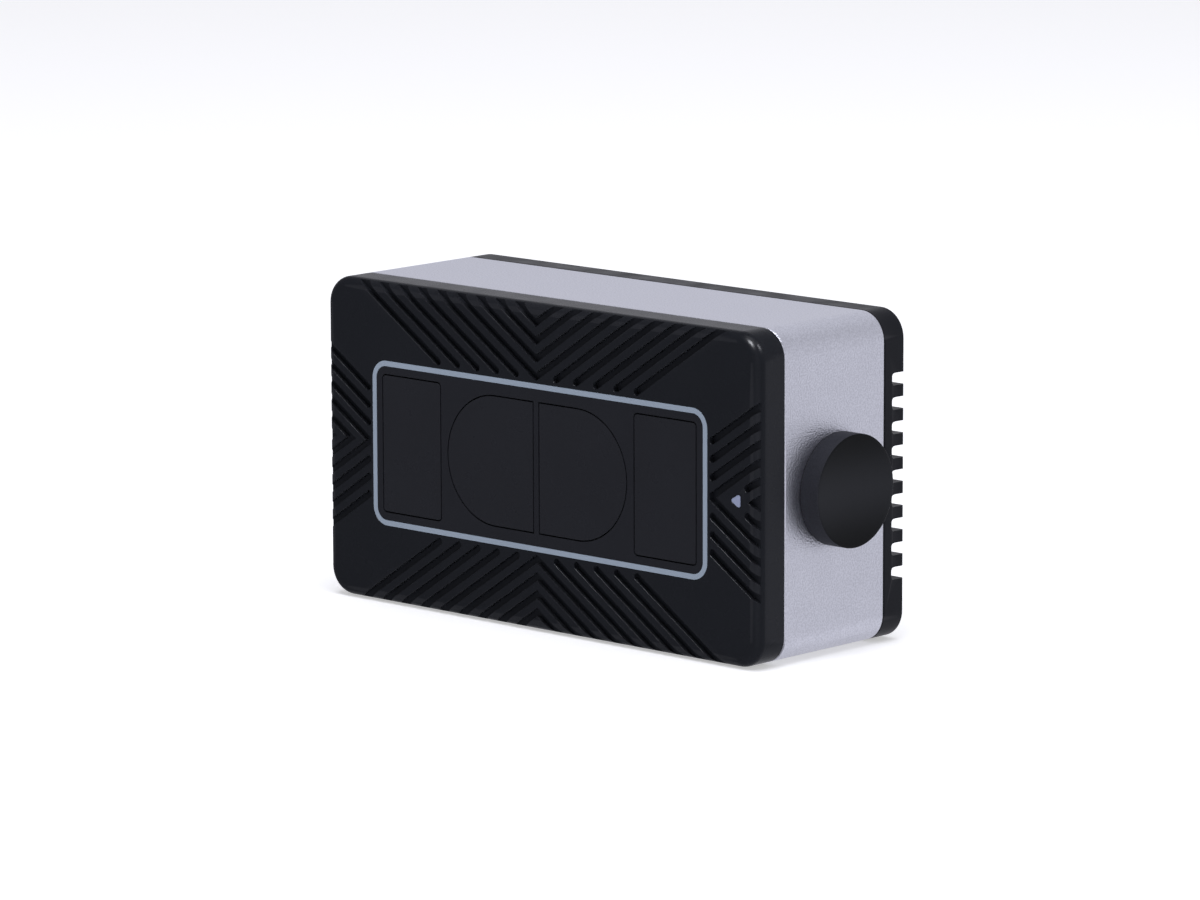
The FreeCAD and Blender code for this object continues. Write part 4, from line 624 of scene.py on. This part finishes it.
SKY_COLOUR = (0.93, 0.93, 1.0, 1.0)
SKY_BASE = 0.24
SKY_GLOWS = (
    # direction, core and edge in degrees, brightness
    ((0.10, 1.00, 0.25), 40, 85, 0.26),
    ((-0.68, 0.73, 0.12), 14, 34, 0.20),
    ((0.68, 0.73, -0.17), 15, 45, 0.18),
    ((0.73, -0.68, -0.10), 8, 32, 0.80),
    ((-0.10, 0.70, -0.70), 25, 55, 0.34),
)


def glow(tree, direction, toward, core_deg, edge_deg, level):
    """Light from one part of the sky: full within core_deg of its middle, none past edge_deg."""
    dot = tree.nodes.new("ShaderNodeVectorMath")
    dot.operation = "DOT_PRODUCT"
    dot.inputs[1].default_value = Vector(toward).normalized()
    link(tree, direction, dot.inputs[0])
    return faded(tree, dot.outputs["Value"], math.cos(math.radians(edge_deg)),
                 math.cos(math.radians(core_deg)), level)


def make_world():
    """A dim studio with soft bright screens behind the object, beside it and below."""
    world = bpy.data.worlds.new("studio")
    bpy.context.scene.world = world
    world.use_nodes = True
    tree = world.node_tree
    tree.nodes.clear()
    output = tree.nodes.new("ShaderNodeOutputWorld")
    background = tree.nodes.new("ShaderNodeBackground")
    direction = tree.nodes.new("ShaderNodeTexCoord").outputs["Generated"]
    total = SKY_BASE
    for patch in SKY_GLOWS:
        total = maths(tree, "ADD", total, glow(tree, direction, *patch))
    background.inputs["Color"].default_value = SKY_COLOUR
    link(tree, total, background.inputs["Strength"])
    link(tree, background.outputs["Background"], output.inputs["Surface"])


CAMERA_AZIMUTH = math.radians(43.082)
CAMERA_ELEVATION = math.radians(10.111)
CAMERA_ROLL = math.radians(-0.182)
CAMERA_DISTANCE = 1.17258
CAMERA_LENS = 194.81
CAMERA_SENSOR = 36.0
CAMERA_NEAR = 0.05
CAMERA_FAR = 20.0
AIM_RIGHT = 0.011549
AIM_UP = 0.003250


def make_camera():
    """Looks at a point beside the middle of the front face, as the framing needs."""
    a, e, r = CAMERA_AZIMUTH, CAMERA_ELEVATION, CAMERA_ROLL
    right = Vector((math.cos(a), math.sin(a), 0))
    back = Vector((math.sin(a) * math.cos(e), -math.cos(a) * math.cos(e), math.sin(e)))
    up = back.cross(right)
    rolled_right = math.cos(r) * right + math.sin(r) * up
    rolled_up = -math.sin(r) * right + math.cos(r) * up
    low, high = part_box("front_bezel")
    face_centre = Vector(((low.x + high.x) / 2, low.y, (low.z + high.z) / 2))
    place = (face_centre + AIM_RIGHT * rolled_right + AIM_UP * rolled_up
             + CAMERA_DISTANCE * back)
    data = bpy.data.cameras.new("camera")
    data.sensor_width = CAMERA_SENSOR
    data.lens = CAMERA_LENS
    data.clip_start = CAMERA_NEAR
    data.clip_end = CAMERA_FAR
    camera = bpy.data.objects.new("camera", data)
    bpy.context.scene.collection.objects.link(camera)
    turn = Matrix((rolled_right, rolled_up, back)).transposed()
    camera.matrix_world = Matrix.Translation(place) @ turn.to_4x4()
    bpy.context.scene.camera = camera


make_floor()
make_world()
make_lamps()
make_camera()
bpy.context.scene.view_settings.view_transform = "Standard"
